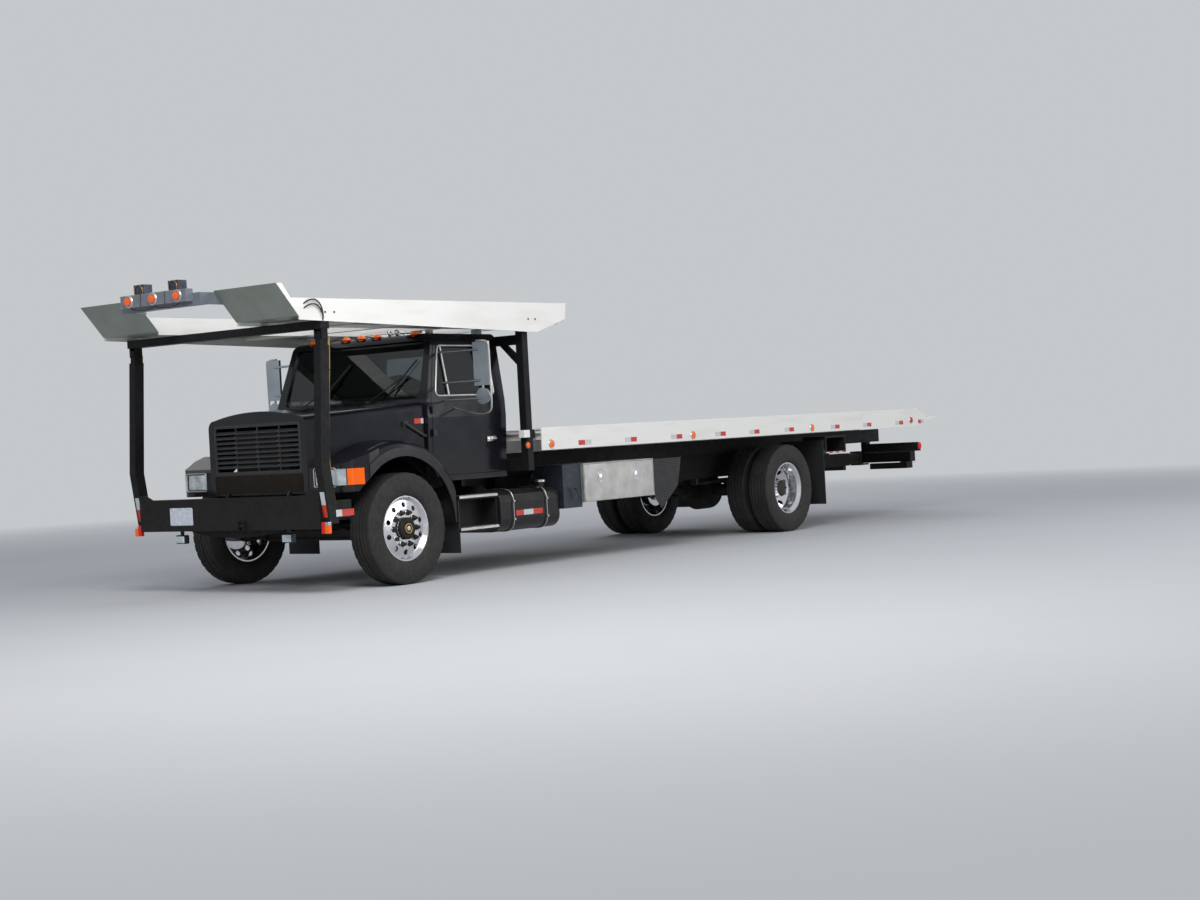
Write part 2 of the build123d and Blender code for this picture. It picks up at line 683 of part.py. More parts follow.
def tyre(y):
    """Tyre section revolved about the axle."""
    half = TYRE_W / 2
    rim, crown = RIM_D / 2 + 2, TYRE_D / 2
    tread = half - 30
    section = [(rim, -half + 35), (rim + 25, -half + 12), (rim + 90, -half), (crown - 45, -half + 8),
               (crown - 12, -tread), (crown, -tread + 22), (crown, -18), (crown - 10, -12), (crown - 10, 12),
               (crown, 18), (crown, tread - 22), (crown - 12, tread), (crown - 45, half - 8),
               (rim + 90, half),
               (rim + 25, half - 12), (rim, half - 35)]
    face = make_face(Polyline(*[(r, 0, a) for r, a in section], close=True))
    ring = revolve(face, Axis.Z)
    return Pos(0, y, AXLE_Z) * Rot(90, 0, 0) * ring


def wheel(y, dish, outward):
    """Disc wheel with its hand holes. The disc lies dish from the wheel's middle, to the outside."""
    half = TYRE_W / 2 - 32
    rim = RIM_D / 2
    rim_wall = [(rim, -half), (rim + 1.5, -half + 4), (rim - 30, -half + 30), (rim - 30, half - 30),
                (rim + 1.5, half - 4), (rim, half), (rim - 12, half), (rim - 42, half - 34),
                (rim - 42, -half + 34), (rim - 12, -half)]
    barrel = revolve(make_face(Polyline(*[(r, 0, a) for r, a in rim_wall], close=True)), Axis.Z)
    seat_r = rim - 36
    reach = half - 38
    seat = max(-reach, min(reach, dish))
    t = DISC_T / 2
    disc_wall = [(HUB_R, dish - t), (HUB_R, dish + t), (DISC_FLAT_R, dish + t), (seat_r, seat + t),
                 (seat_r, seat - t), (DISC_FLAT_R, dish - t)]
    disc = revolve(make_face(Polyline(*[(r, 0, a) for r, a in disc_wall], close=True)), Axis.Z)
    for i in range(STUDS):
        disc -= Rot(0, 0, 360 * i / STUDS + 18) * Pos(HAND_HOLE_PCR, 0, 0) * Cylinder(HAND_HOLE_R, 400)
    part = barrel + disc
    return Pos(0, y, AXLE_Z) * Rot(90 if outward < 0 else -90, 0, 0) * part


def hub(y0, y1, radius):
    """Hub barrel along the axle."""
    return rod((0, y0, AXLE_Z), (0, y1, AXLE_Z), radius)


def engine_block():
    """Engine and gearbox as one plain block, with the radiator ahead of it."""
    engine = block(-440, 420, -290, 290, 640, 1370)
    gearbox = block(-1340, -440, -190, 190, 640, 900)
    radiator = block(515, 605, -335, 335, RAIL_TOP - RAIL_H + RAIL_WALL + MEMBER_H, 1420)
    return [fused([engine, gearbox]), radiator]


def drive_shaft():
    """Two-piece shaft from the gearbox to the rear axle."""
    bend = BEARING_X + 50
    front = rod((-1340 - RUN_GAP, 0, SHAFT_Z), (bend, 0, SHAFT_Z), SHAFT_R)
    rear = rod((bend, 0, SHAFT_Z), (REAR_X + 388, 0, AXLE_Z + 20), SHAFT_R)
    seat = RAIL_TOP - RAIL_H + RAIL_WALL + MEMBER_H
    joint = rod((BEARING_X + 35, 0, SHAFT_Z), (BEARING_X - 35, 0, SHAFT_Z), SHAFT_Z - seat - RUN_GAP)
    return fused([front, joint, rear])


def exhaust():
    """Exhaust pipe along the right rail with its silencer."""
    stub = rod((-400, -240, 640), (-400, -240, 590), 45)
    pipe = rod((-400, -240, 590), (-2320, -240, 590), 45)
    cross = rod((-2320, -240, 590), (-2450, -580, 500), 45)
    muffler = rod((-2450, -580, 500), (-3350, -580, 500), 105)
    tail = rod((-3350, -580, 500), (-4700, -580, 500), 45)
    return fused([stub, pipe, cross, muffler, tail])


def cab_outer(inset):
    """Cab envelope, drawn in by inset on every side, with rounded roof edges."""
    i = inset
    side = outline([(CAB_FRONT - i, -CAB_HALF, CAB_SILL + i), (CAB_FRONT - i, -CAB_HALF, CAB_BELT),
                    (CAB_HEADER_X - i, -CAB_HALF, CAB_HEADER - i),
                    (CAB_BACK + i, -CAB_HALF, CAB_ROOF + 40 - i),
                    (CAB_BACK + i, -CAB_HALF, CAB_SILL + i)])
    top = side.vertices().filter_by_position(Axis.Z, CAB_HEADER - 100, CAB_ROOF + 100)
    side = extrude(fillet(top, HEADER_R - i), amount=2 * CAB_HALF, dir=(0, 1, 0))
    edge = CAB_HALF - 6 - CAB_LEAN - i
    run = [(CAB_HALF - 25 - i, CAB_SILL + i), (CAB_HALF - i, 1450), (CAB_HALF - 6 - i, CAB_BELT),
           (edge, CAB_ROOF_EDGE - i)]
    x = CAB_BACK
    lines = [ThreePointArc((x, edge, CAB_ROOF_EDGE - i), (x, 0, CAB_ROOF - i),
                           (x, -edge, CAB_ROOF_EDGE - i)),
             Line((x, run[0][0], run[0][1]), (x, -run[0][0], run[0][1]))]
    for s in (1, -1):
        lines += [Line((x, s * a, b), (x, s * c, d)) for (a, b), (c, d) in zip(run, run[1:])]
    front = make_face(lines)
    corners = front.vertices().filter_by_position(Axis.Z, CAB_ROOF_EDGE - i - 1, CAB_ROOF_EDGE - i + 1)
    front = extrude(fillet(corners, ROOF_R - i / 2), amount=CAB_FRONT - CAB_BACK, dir=(1, 0, 0))
    return (side & front) - rod((0, -CAB_HALF, AXLE_Z), (0, CAB_HALF, AXLE_Z), FENDER_R + TUNNEL_GAP + i)


def side_skin(side, wall):
    """The cab's side wall alone, as a slab that leans with it."""
    outer = [(CAB_HALF - 25, CAB_SILL), (CAB_HALF, 1450), (CAB_HALF - 6, CAB_BELT),
             (CAB_HALF - 6 - CAB_LEAN, CAB_ROOF_EDGE)]
    inner = [(y - wall, z) for y, z in outer[::-1]]
    return cross_plate([(side * y, z) for y, z in outer + inner], CAB_BACK, CAB_FRONT)


def window_cut(y0, y1):
    """Side window opening."""
    rake = DOOR_RAKE * (WINDOW_TOP - WINDOW_LOW) / (DOOR_TOP - CAB_BELT)
    return side_plate([(WINDOW_FRONT, WINDOW_LOW), (WINDOW_FRONT - rake, WINDOW_TOP),
                       (WINDOW_REAR, WINDOW_TOP),
                       (WINDOW_REAR, WINDOW_LOW)], y0, y1, WINDOW_R)


def door_cut(gap, y0, y1):
    """Door outline, grown by gap and cut back over the fender."""
    g = gap
    panel = side_plate([(DOOR_FRONT + g, DOOR_LOW - g), (DOOR_FRONT + g, CAB_BELT),
                        (DOOR_FRONT - DOOR_RAKE + g, DOOR_TOP + g), (DOOR_REAR - g, DOOR_TOP + g),
                        (DOOR_REAR - g, DOOR_LOW - g)], y0, y1, 24)
    return panel - rod((0, y0, AXLE_Z), (0, y1, AXLE_Z), FENDER_R + DOOR_ARCH - g)


def screen_outline(x0, x1):
    """Windscreen opening."""
    return cross_plate([(-SCREEN_LOW_HALF, SCREEN_LOW), (SCREEN_LOW_HALF, SCREEN_LOW),
                        (SCREEN_TOP_HALF, SCREEN_TOP), (-SCREEN_TOP_HALF, SCREEN_TOP)], x0, x1, WINDOW_R)


def rear_window(x0, x1):
    """Rear window opening."""
    return cross_plate([(-REAR_WINDOW_HALF, REAR_WINDOW_LOW), (REAR_WINDOW_HALF, REAR_WINDOW_LOW),
                        (REAR_WINDOW_HALF, REAR_WINDOW_TOP), (-REAR_WINDOW_HALF, REAR_WINDOW_TOP)], x0, x1,
                       WINDOW_R)


def cab_shell():
    """Hollow cab with openings for doors, windscreen and rear window."""
    shell = cab_outer(0) - cab_outer(CAB_WALL)
    for side in (1, -1):
        shell -= side_skin(side, CAB_WALL + 1) & door_cut(DOOR_GAP, -CAB_HALF, CAB_HALF)
    shell -= screen_outline(CAB_HEADER_X - 150, CAB_FRONT + 10)
    shell -= rear_window(CAB_BACK - 10, CAB_BACK + CAB_WALL + 10)
    for side in (1, -1):
        y0, y1 = sorted((side * (CAB_HALF - 90), side * (CAB_HALF - 26)))
        shell += block(CAB_BACK, -720, y0, y1, CAB_SILL - 45, CAB_SILL)
    return shell


def cab_glass():
    """Windscreen and rear window, each in the middle of its wall."""
    slope = (CAB_FRONT - CAB_HEADER_X) / (CAB_HEADER - CAB_BELT)
    mid = CAB_WALL / 2
    x_low = CAB_FRONT - slope * (SCREEN_LOW - CAB_BELT) - mid
    x_high = CAB_FRONT - slope * (SCREEN_TOP - CAB_BELT) - mid
    half = SCREEN_LOW_HALF
    band = side_plate([(x_low, SCREEN_LOW), (x_low - GLASS_T, SCREEN_LOW), (x_high - GLASS_T, SCREEN_TOP),
                       (x_high, SCREEN_TOP)], -half, half)
    screen = band & screen_outline(CAB_HEADER_X - 150, CAB_FRONT + 10)
    return [screen, rear_window(CAB_BACK + mid, CAB_BACK + mid + GLASS_T)]


def door_hinge(side, z):
    """Hinge barrel on the door's front edge, with its leaf."""
    y = side * DOOR_HINGE_Y
    barrel = rod((DOOR_HINGE_X, y, z - 35), (DOOR_HINGE_X, y, z + 35), DOOR_HINGE_R)
    y0, y1 = sorted((side * (CAB_HALF + 4), side * (DOOR_HINGE_Y - 4)))
    leaf_plate = block(DOOR_HINGE_X - 55, DOOR_HINGE_X, y0, y1, z - 25, z + 25)
    y0, y1 = sorted((side * (CAB_HALF - 45), side * (DOOR_HINGE_Y - 4)))
    foot = block(DOOR_HINGE_X - 55, DOOR_FRONT - 4, y0, y1, z - 25, z + 25)
    return barrel + leaf_plate + foot


def door(side):
    """Door panel, cut from the cab's own wall, with its two hinges."""
    panel = side_skin(side, CAB_WALL) & door_cut(0, -CAB_HALF, CAB_HALF)
    panel -= window_cut(-CAB_HALF, CAB_HALF)
    return fused([panel] + [door_hinge(side, z) for z in DOOR_HINGE_Z])


def door_glass(side):
    """Pane in the middle of the door's wall."""
    inner = side_skin(side, CAB_WALL / 2)
    pane = side_skin(side, CAB_WALL / 2 + GLASS_T) - inner
    return pane & window_cut(-CAB_HALF, CAB_HALF)


def mirror_set(side):
    """Tall mirror with its round wide-angle mirror, on tube arms."""
    y = side * 1350
    head = block(-860, -835, min(y - 90, y + 90), max(y - 90, y + 90), 1715, 2110)
    spot = rod((-860, y, 1620), (-835, y, 1620), 75)
    arms = []
    for z, wall_y in ((2040, 850), (1760, 915), (1600, 950)):
        arms.append(rod((-740, side * wall_y, z), (-847, side * 1350, z), 11))
    arms.append(rod((-847, y, 1545), (-847, y, 2110), 11))
    return fused([head, spot] + arms) - side_skin(side, 2 * CAB_WALL)


def cab_interior():
    """Dashboard with its hood, steering wheel and column."""
    dash = side_plate([(-545, 1330), (-545, 1570), (-640, 1585), (-720, 1540), (-800, 1500), (-790, 1400),
                       (-700, 1330)], -880, 880, 12)
    dash = Pos(-RUN_GAP, 0, 0) * dash
    tilt = Pos(-880, 520, 1590) * Rot(0, -40, 0)
    ring = tilt * Torus(215, 14)
    spokes = [tilt * Rot(0, 0, 120 * i) * Pos(108, 0, 0) * Box(216, 34, 12) for i in range(3)]
    column = rod((-880, 520, 1590), (-740, 520, 1423), 25)
    return fused([dash, column, ring] + spokes)


def seats():
    """Driver's seat and double seat, each with its plinth."""
    floor = RAIL_TOP + CAB_WALL
    pieces = []
    under = floor + SEAT_UNDER
    for y, half in SEATS:
        cushion = side_plate([(SEAT_REAR, under - 5), (SEAT_FRONT, under - 25), (SEAT_FRONT, under + 95),
                              (SEAT_REAR, under + 115)],
                             y - half, y + half, SEAT_R)
        back = side_plate([(SEAT_REAR + 10, under), (SEAT_REAR - 105, floor + SEAT_HEAD - 15),
                           (SEAT_REAR, floor + SEAT_HEAD), (SEAT_REAR + 110, under + 105)],
                          y - half, y + half, SEAT_R)
        plinth = block(SEAT_REAR + 40, SEAT_FRONT - 50, y - half + SEAT_OVERHANG, y + half - SEAT_OVERHANG,
                       floor, under)
        pieces.append(fused([cushion, back, plinth]))
    return pieces


def hood_section(x, half, top, crown, inset):
    """Hood outline across the truck at station x, in lines and arcs."""
    i = inset
    r = HOOD_SHOULDER - i / 2
    side, top = half - i, top - i
    bevel = r * (1 - math.sqrt(0.5))
    lines = [Line((x, -side, HOOD_LOW), (x, side, HOOD_LOW)),
             ThreePointArc((x, side - r, top), (x, 0, top + crown), (x, r - side, top))]
    for s in (1, -1):
        lines.append(Line((x, s * side, HOOD_LOW), (x, s * side, top - r)))
        lines.append(ThreePointArc((x, s * side, top - r), (x, s * (side - bevel), top - bevel),
                                   (x, s * (side - r), top)))
    return make_face(lines)


def hood_centre(inset):
    """Middle of the hood between nose and cowl, drawn in by inset."""
    nose = hood_section(HOOD_NOSE - inset, HOOD_NOSE_HALF, HOOD_NOSE_TOP, HOOD_NOSE_CROWN, inset)
    cowl = hood_section(HOOD_REAR - (1 if inset else 0), HOOD_REAR_HALF, HOOD_REAR_TOP, HOOD_REAR_CROWN,
                        inset)
    return loft([nose, cowl], ruled=True)


def fender_ring(side, filled):
    """Fender section turned about the axle: crown, flare and lip, hollow underneath unless filled."""
    w = HOOD_WALL
    flat = POD_IN + 40
    flare = (CREASE_R + FENDER_R) / 2 + 14
    points = [(CREASE_R + 10, flat), (CREASE_R, CREASE_Y), (flare, FENDER_OUT - 45), (FENDER_R, FENDER_OUT)]
    inner = [(r - w, y) for r, y in points[:2]] + [(flare - w, FENDER_OUT - 45 - w / 2),
                                                   (FENDER_R - w, FENDER_OUT - w)]
    lip = [(ARCH_R, FENDER_OUT), (ARCH_R, FENDER_OUT - w)]

    def spot(pair):
        return (pair[0], 0, pair[1] * side)

    lines = [Line(spot(points[0]), spot(points[1])),
             ThreePointArc(spot(points[1]), spot(points[2]), spot(points[3])),
             Line(spot(points[3]), spot(lip[0]))]
    if filled:
        low = (ARCH_R, flat)
        lines += [Line(spot(lip[0]), spot(low)), Line(spot(low), spot(points[0]))]
    else:
        lines += [Line(spot(lip[0]), spot(lip[1])), Line(spot(lip[1]), spot(inner[3])),
                  ThreePointArc(spot(inner[3]), spot(inner[2]), spot(inner[1])),
                  Line(spot(inner[1]), spot(inner[0])),
                  Line(spot(inner[0]), spot(points[0]))]
    return Pos(0, 0, AXLE_Z) * Rot(-90, 0, 0) * revolve(make_face(lines), Axis.Z)


def fender(side):
    """Arched fender with its crease and lip, closed at its tail."""
    lo, hi = sorted((side * POD_IN, side * (FENDER_OUT + 1)))
    front = POD_BACK + 130
    sector = side_plate([(0, AXLE_Z), (FENDER_TAIL_X, AXLE_Z + 10), (FENDER_TAIL_X, 1400), (front, 1400),
                         (front, FENDER_FRONT_Z)], lo, hi)
    tail = block(FENDER_TAIL_X, FENDER_TAIL_X + HOOD_WALL, lo, hi, AXLE_Z + 10, CAB_BELT)
    return (fender_ring(side, False) & sector) + (fender_ring(side, True) & tail)


def pod_body(side, inset):
    """Envelope of the headlamp pod: a sloping top over a corner rounded in plan."""
    i = inset
    front, top, low = HOOD_NOSE - 5 - i, POD_TOP - i, FENDER_FRONT_Z
    outer = FENDER_OUT - 8 - i
    profile = side_plate([(POD_BACK, low), (front, low), (front, top - 28), (front - 28, top),
                          (POD_BACK, top + 115)],
                         -FENDER_OUT, FENDER_OUT)
    corner = front - 110
    out = CREASE_Y + 20 - i
    lines = [Line((POD_BACK, side * POD_IN, low), (front, side * POD_IN, low)),
             Line((front, side * POD_IN, low), (front, side * (out - 75), low)),
             ThreePointArc((front, side * (out - 75), low), (corner + 85, side * (out - 22), low),
                           (corner, side * (out + 25), low)),
             Line((corner, side * (out + 25), low), (POD_BACK + 120, side * outer, low)),
             Line((POD_BACK + 120, side * outer, low),
                  (POD_BACK, side * outer, low)),
             Line((POD_BACK, side * outer, low), (POD_BACK, side * POD_IN, low))]
    plan = extrude(make_face(lines), amount=POD_TOP + 200 - low, dir=(0, 0, 1))
    return profile & plan


def pod(side):
    """Headlamp pod between the nose and the fender, open underneath and over the wheel."""
    lo, hi = sorted((side * POD_IN, side * FENDER_OUT))
    under = block(POD_BACK, HOOD_NOSE, lo, hi, FENDER_FRONT_Z - 1, FENDER_FRONT_Z + 1)
    shell = pod_body(side, 0) - pod_body(side, HOOD_WALL) - under
    return shell - rod((0, lo, AXLE_Z), (0, hi, AXLE_Z), ARCH_R - 8)


def hood_shell():
    """Middle of the hood, hollow underneath, with the grille opening and the hinge arms."""
    body = hood_centre(0)
    for s in (1, -1):
        y0, y1 = sorted((s * POD_IN, s * FENDER_OUT))
        body -= rod((0, y0, AXLE_Z), (0, y1, AXLE_Z), WHEELHOUSE_R)
    body -= hood_centre(HOOD_WALL)
    body -= block(FENDER_TAIL_X - 80, HOOD_REAR, -FENDER_TAIL_IN, FENDER_TAIL_IN, 400, 1800)
    body -= cross_plate([(-GRILLE_HALF, GRILLE_LOW), (GRILLE_HALF, GRILLE_LOW), (GRILLE_HALF, GRILLE_TOP),
                         (-GRILLE_HALF, GRILLE_TOP)], HOOD_NOSE - 60, HOOD_NOSE + 10, 30)
    for s in (1, -1):
        y0, y1 = sorted((s * HOOD_ARM_IN, s * HOOD_ARM_OUT))
        arm = rod((HOOD_PIVOT_X, y0, HOOD_PIVOT_Z), (HOOD_PIVOT_X, y1, HOOD_PIVOT_Z), 28)
        arm += side_plate([(HOOD_PIVOT_X - 24, HOOD_PIVOT_Z - 15), (HOOD_PIVOT_X + 24, HOOD_PIVOT_Z + 15),
                           (HOOD_NOSE, HOOD_LOW + 40), (HOOD_NOSE - HOOD_WALL, HOOD_LOW)], y0, y1)
        arm -= rod((HOOD_PIVOT_X, y0, HOOD_PIVOT_Z), (HOOD_PIVOT_X, y1, HOOD_PIVOT_Z), HINGE_PIN_R + 0.5)
        body += arm
    return body


def fenders():
    """Fender and headlamp pod of each side, seated on the sides of the hood's middle."""
    pieces = []
    middle = hood_centre(0)
    rear = block(FENDER_TAIL_X - 80, HOOD_REAR, -FENDER_TAIL_IN, FENDER_TAIL_IN, 400, 1800)
    for s in (1, -1):
        piece = fender(s) + pod(s) - middle - rear
        y0, y1 = sorted((s * LAMP_IN, s * LAMP_OUT))
        pieces.append(piece - block(HOOD_NOSE - 60, HOOD_NOSE + 10, y0, y1, LAMP_LOW, LAMP_TOP))
    return pieces


def grille():
    """Grille of raked louvres in a rounded rim, with three rows of clips behind."""
    x0, x1 = HOOD_NOSE - 16, HOOD_NOSE - 1
    rims = []
    for step in (0, GRILLE_RIM):
        half, low, high = GRILLE_HALF - step, GRILLE_LOW + step, GRILLE_TOP - step
        rims.append(cross_plate([(-half, low), (half, low), (half, high), (-half, high)], x0, x1,
                                30 - step / 2))
    rim = rims[0] - rims[1]
    half, low, high = GRILLE_HALF - GRILLE_RIM + 5, GRILLE_LOW + GRILLE_RIM, GRILLE_TOP - GRILLE_RIM
    pitch = (high - low) / (GRILLE_BARS + 1)
    bars = []
    for i in range(GRILLE_BARS):
        z = low + pitch * (i + 1)
        bars.append(side_plate([(x0, z + 2), (x0, z + 14), (x1, z - 2), (x1, z - 14)], -half, half))
    for y in (-GRILLE_HALF / 2, 0, GRILLE_HALF / 2):
        bars.append(block(x0 - 10, x0 + 3, y - 8, y + 8, low - 5, high + 5))
    return fused([rim] + bars)


def headlamps():
    """Rectangular headlamps set in the pods."""
    lamps = []
    for s in (1, -1):
        y0, y1 = sorted((s * LAMP_IN, s * LAMP_OUT))
        lamp = block(HOOD_NOSE - 45, HOOD_NOSE - 9, y0, y1, LAMP_LOW, LAMP_TOP)
        lamps.append(fillet(lamp.edges().group_by(Axis.X)[-1], 12))
    return lamps


def turn_signals():
    """Wrap-round turn signals on the outer corners of the pods."""
    lenses = []
    for s in (1, -1):
        y0, y1 = sorted((s * (LAMP_OUT + 20), s * (FENDER_OUT + 20)))
        band = block(POD_BACK + 170, HOOD_NOSE - 60, y0, y1, LAMP_LOW + LAMP_PLAY, LAMP_TOP - LAMP_PLAY)
        lenses.append((pod_body(s, -SIGNAL_T) - pod_body(s, 0)) & band)
    return lenses


def tank_ring(x0, x1, side, grow):
    """Tank section from x0 to x1 with rounded corners, grown all round."""
    y0, y1 = sorted((side * (TANK_IN - grow), side * (TANK_OUT + grow)))
    ring = block(x0, x1, y0, y1, TANK_LOW - grow, TANK_TOP + grow)
    return fillet(ring.edges().filter_by(Axis.X), TANK_R + grow)


def fuel_tank():
    """Rounded tank on each side with its straps, filler neck and brackets."""
    tanks = []
    for s in (1, -1):
        pieces = [tank_ring(TANK_REAR, TANK_FRONT, s, 0)]
        arm_y0, arm_y1 = sorted((s * RAIL_Y, s * (TANK_IN + 6)))
        for x in (TANK_FRONT - 190, TANK_REAR + 190):
            pieces.append(block(x - 30, x + 30, arm_y0, arm_y1, TANK_LOW + 150, RAIL_TOP - 60))
            pieces.append(tank_ring(x - 28, x + 28, s, 5))
        neck_y = s * (TANK_OUT - 150)
        pieces.append(rod((TANK_REAR + 90, neck_y, TANK_TOP - 40), (TANK_REAR + 90, neck_y, TANK_TOP + 35),
                          45))
        tanks.append(fused(pieces))
    return tanks


def cab_steps():
    """Two treads a side under the door, between brackets from the frame, with a plate behind them."""
    steps = []
    for s in (1, -1):
        y_out = s * 1120
        pieces = []
        for z in (STEP_LOW, STEP_HIGH):
            y0, y1 = sorted((y_out, y_out - s * STEP_DEPTH))
            tread = block(STEP_REAR, STEP_FRONT, y0, y1, z, z + 35)
            y2, y3 = sorted((y_out - s * 6, y_out - s * STEP_DEPTH))
            pieces.append(tread - block(STEP_REAR, STEP_FRONT, y2, y3, z, z + 29))
        y0, y1 = sorted((s * (1120 - STEP_DEPTH), s * (1112 - STEP_DEPTH)))
        pieces.append(block(STEP_REAR, STEP_FRONT, y0, y1, STEP_LOW, STEP_HIGH + 35))
        for x in (STEP_REAR + 5, STEP_FRONT - 5):
            pieces.append(cross_plate([(s * RAIL_Y, 800), (s * RAIL_Y, 700), (s * 900, STEP_LOW),
                                       (s * 1105, STEP_LOW),
                                       (s * 1105, STEP_HIGH), (s * 930, 800)], x - 5, x + 5))
        steps.append(fused(pieces))
    return steps


def tool_box(side):
    """Open-fronted box body, its small cabinet and the frame arms."""
    y_in, y_out = side * BOX_IN, side * BOX_OUT
    y0, y1 = sorted((y_in, y_out))
    body = block(BOX_REAR, BOX_FRONT, y0, y1, BOX_LOW, BOX_TOP)
    h0, h1 = sorted((y_in + side * BOX_WALL, y_out))
    body -= block(BOX_REAR + BOX_WALL, BOX_FRONT - BOX_WALL, h0, h1, BOX_LOW + BOX_WALL, BOX_TOP - BOX_WALL)
    f0, f1 = sorted((y_out - side * (TOOL_DOOR_T + RUN_GAP), y_out))
    body -= block(BOX_REAR + 8, BOX_FRONT - 8, f0, f1, BOX_LOW + 8, BOX_TOP - 8)
    c0, c1 = sorted((side * 800, side * 1170))
    cabinet = block(BOX_FRONT, BOX_FRONT + 290, c0, c1, BOX_LOW - 45, BOX_TOP)
    arms = []
    a0, a1 = sorted((side * RAIL_Y, y_in))
    for x in (BOX_FRONT - 150, BOX_REAR + 150):
        arms.append(block(x - 30, x + 30, a0, a1, RAIL_TOP - 130, RAIL_TOP - 60))
    return fused([body, cabinet] + arms)


def tool_box_door(side):
    """Drop-down door of a tool box, with a long hinge along its lower edge."""
    y_out = side * BOX_OUT
    y0, y1 = sorted((y_out - side * TOOL_DOOR_T, y_out))
    panel = block(BOX_REAR + 14, BOX_FRONT - 14, y0, y1, BOX_LOW + 14, BOX_TOP - 14)
    hinge_y = side * (BOX_OUT + BOX_HINGE_R + 0.5)
    hinge_z = BOX_LOW + BOX_HINGE_R
    barrel = rod((BOX_REAR + 14, hinge_y, hinge_z), (BOX_FRONT - 14, hinge_y, hinge_z), BOX_HINGE_R)
    y0, y1 = sorted((y_out, y_out + side * 4))
    strap = block(BOX_REAR + 14, BOX_FRONT - 14, y0, y1, BOX_LOW + 14, BOX_LOW + 36)
    link = block(BOX_REAR + 14, BOX_FRONT - 14, y0 + min(side, 0) * 0.5, y1 + max(side, 0) * 0.5, hinge_z,
                 BOX_LOW + 18)
    link -= block(BOX_REAR, BOX_FRONT, min(y_out, y_out + side * 0.5), max(y_out, y_out + side * 0.5),
                  hinge_z,
                  BOX_LOW + 14)
    return fused([panel, barrel, strap, link])


def mud_flaps():
    """Rubber flaps behind all wheels and tapered guards ahead of the duals."""
    flaps = []
    for s in (1, -1):
        y0, y1 = sorted((s * (DUAL_INNER_Y - 140), s * 1205))
        flap = block(FLAP_X - 12, FLAP_X, y0, y1, FLAP_LOW, 1000)
        a0, a1 = sorted((s * RAIL_Y, s * 1205))
        flap += block(FLAP_X - 50, FLAP_X - 12, a0, a1, RAIL_TOP - 80, RAIL_TOP - 30)
        flaps.append(flap)
        g0, g1 = sorted((s * 1190, s * 1198))
        guard = side_plate([(BOX_REAR, 930), (-4100, 930), (-4020, 640), (BOX_REAR - 120, 420),
                            (BOX_REAR, 560)], g0, g1)
        b0, b1 = sorted((s * RAIL_Y, s * 1190))
        guard += block(-3960, -3910, b0, b1, RAIL_TOP - 80, RAIL_TOP - 30)
        flaps.append(guard)
        p0, p1 = sorted((s * 700, s * 1110))
        front = block(STEP_FRONT, STEP_FRONT + 10, p0, p1, 215, 690)
        flaps.append(front)
    return flaps


def light_boxes():
    """Lamp boxes behind the rear flaps."""
    boxes = []
    for s in (1, -1):
        y0, y1 = sorted((s * 900, s * 1200))
        shell = block(LIGHT_BOX_X - LIGHT_BOX_L, LIGHT_BOX_X, y0, y1, 840, 1040)
        h0, h1 = sorted((s * 920, s * 1210))
        shell -= block(LIGHT_BOX_X - LIGHT_BOX_L + 20, LIGHT_BOX_X - 20, h0, h1, 860, 1020)
        a0, a1 = sorted((s * RAIL_Y, s * 900))
        shell += block(LIGHT_BOX_X - 270, LIGHT_BOX_X - 190, a0, a1, 845, 905)
        boxes.append(shell)
    return boxes


def subframe():
    """The two beams of the tilting subframe."""
    near, far = BEAM_Y - BEAM_W / 2, BEAM_Y + BEAM_W / 2
    return both_sides(box_tube(SUB_REAR, SUB_FRONT, near, far, SUB_LOW, SUB_TOP, 8, "X"))


def subframe_members():
    """Cross members between the beams, with the ears and cheeks of the tilt and the brackets of the lift."""
    pieces = []
    for s in (1, -1):
        p0, p1 = sorted((s * 320, s * (RAIL_Y - RAIL_FLANGE - 5)))
        ear = block(TILT_X - 45, TILT_X + 45, p0, p1, TILT_Z - 45, SUB_LOW + 20)
        pieces.append(ear - rod((TILT_X, p0, TILT_Z), (TILT_X, p1, TILT_Z), TILT_HINGE_R + RUN_GAP))
        for y in (TILT_CYL_Y - 30 - 3 - TILT_CHEEK, TILT_CYL_Y + 30 + 3):
            c0, c1 = sorted((s * y, s * (y + TILT_CHEEK)))
            near = EYE_MEMBER_X - 45
            cheek = side_plate([(near, SUB_LOW + 20), (near, SUB_TOP - 8), (TILT_EYE_X - 60, SUB_TOP - 8),
                                (TILT_EYE_X - 60, TILT_EYE_Z - 64), (TILT_EYE_X + 90, TILT_EYE_Z - 64)], c0,
                               c1)
            window = block(TILT_EYE_X - 21, TILT_EYE_X + 58, c0, c1, TILT_EYE_Z - 37, TILT_EYE_Z + 21)
            pieces.append(cheek - window)
    reach = BEAM_Y - BEAM_W / 2
    for x in SUB_MEMBERS:
        pieces.append(block(x - 45, x + 45, -reach, reach, SUB_LOW + 20, SUB_TOP - 8))
    return fused(pieces + lift_brackets())


def deck_rail():
    """Left side rail of the deck with its tapered tail."""
    low = BED_TOP - BED_RAIL_H
    web = side_plate([(BED_FRONT, low), (BED_FRONT, BED_TOP), (BED_REAR, BED_TOP),
                      (BED_REAR - 270, BED_TOP - 105),
                      (BED_TIP, BED_TOP - 110), (BED_TIP, BED_TOP - 125), (BED_REAR, low)],
                     BED_HALF - 12, BED_HALF)
    inner = block(BED_REAR, BED_FRONT, BED_HALF - 60, BED_HALF - 12, BED_TOP - 12, BED_TOP)
    return web + inner


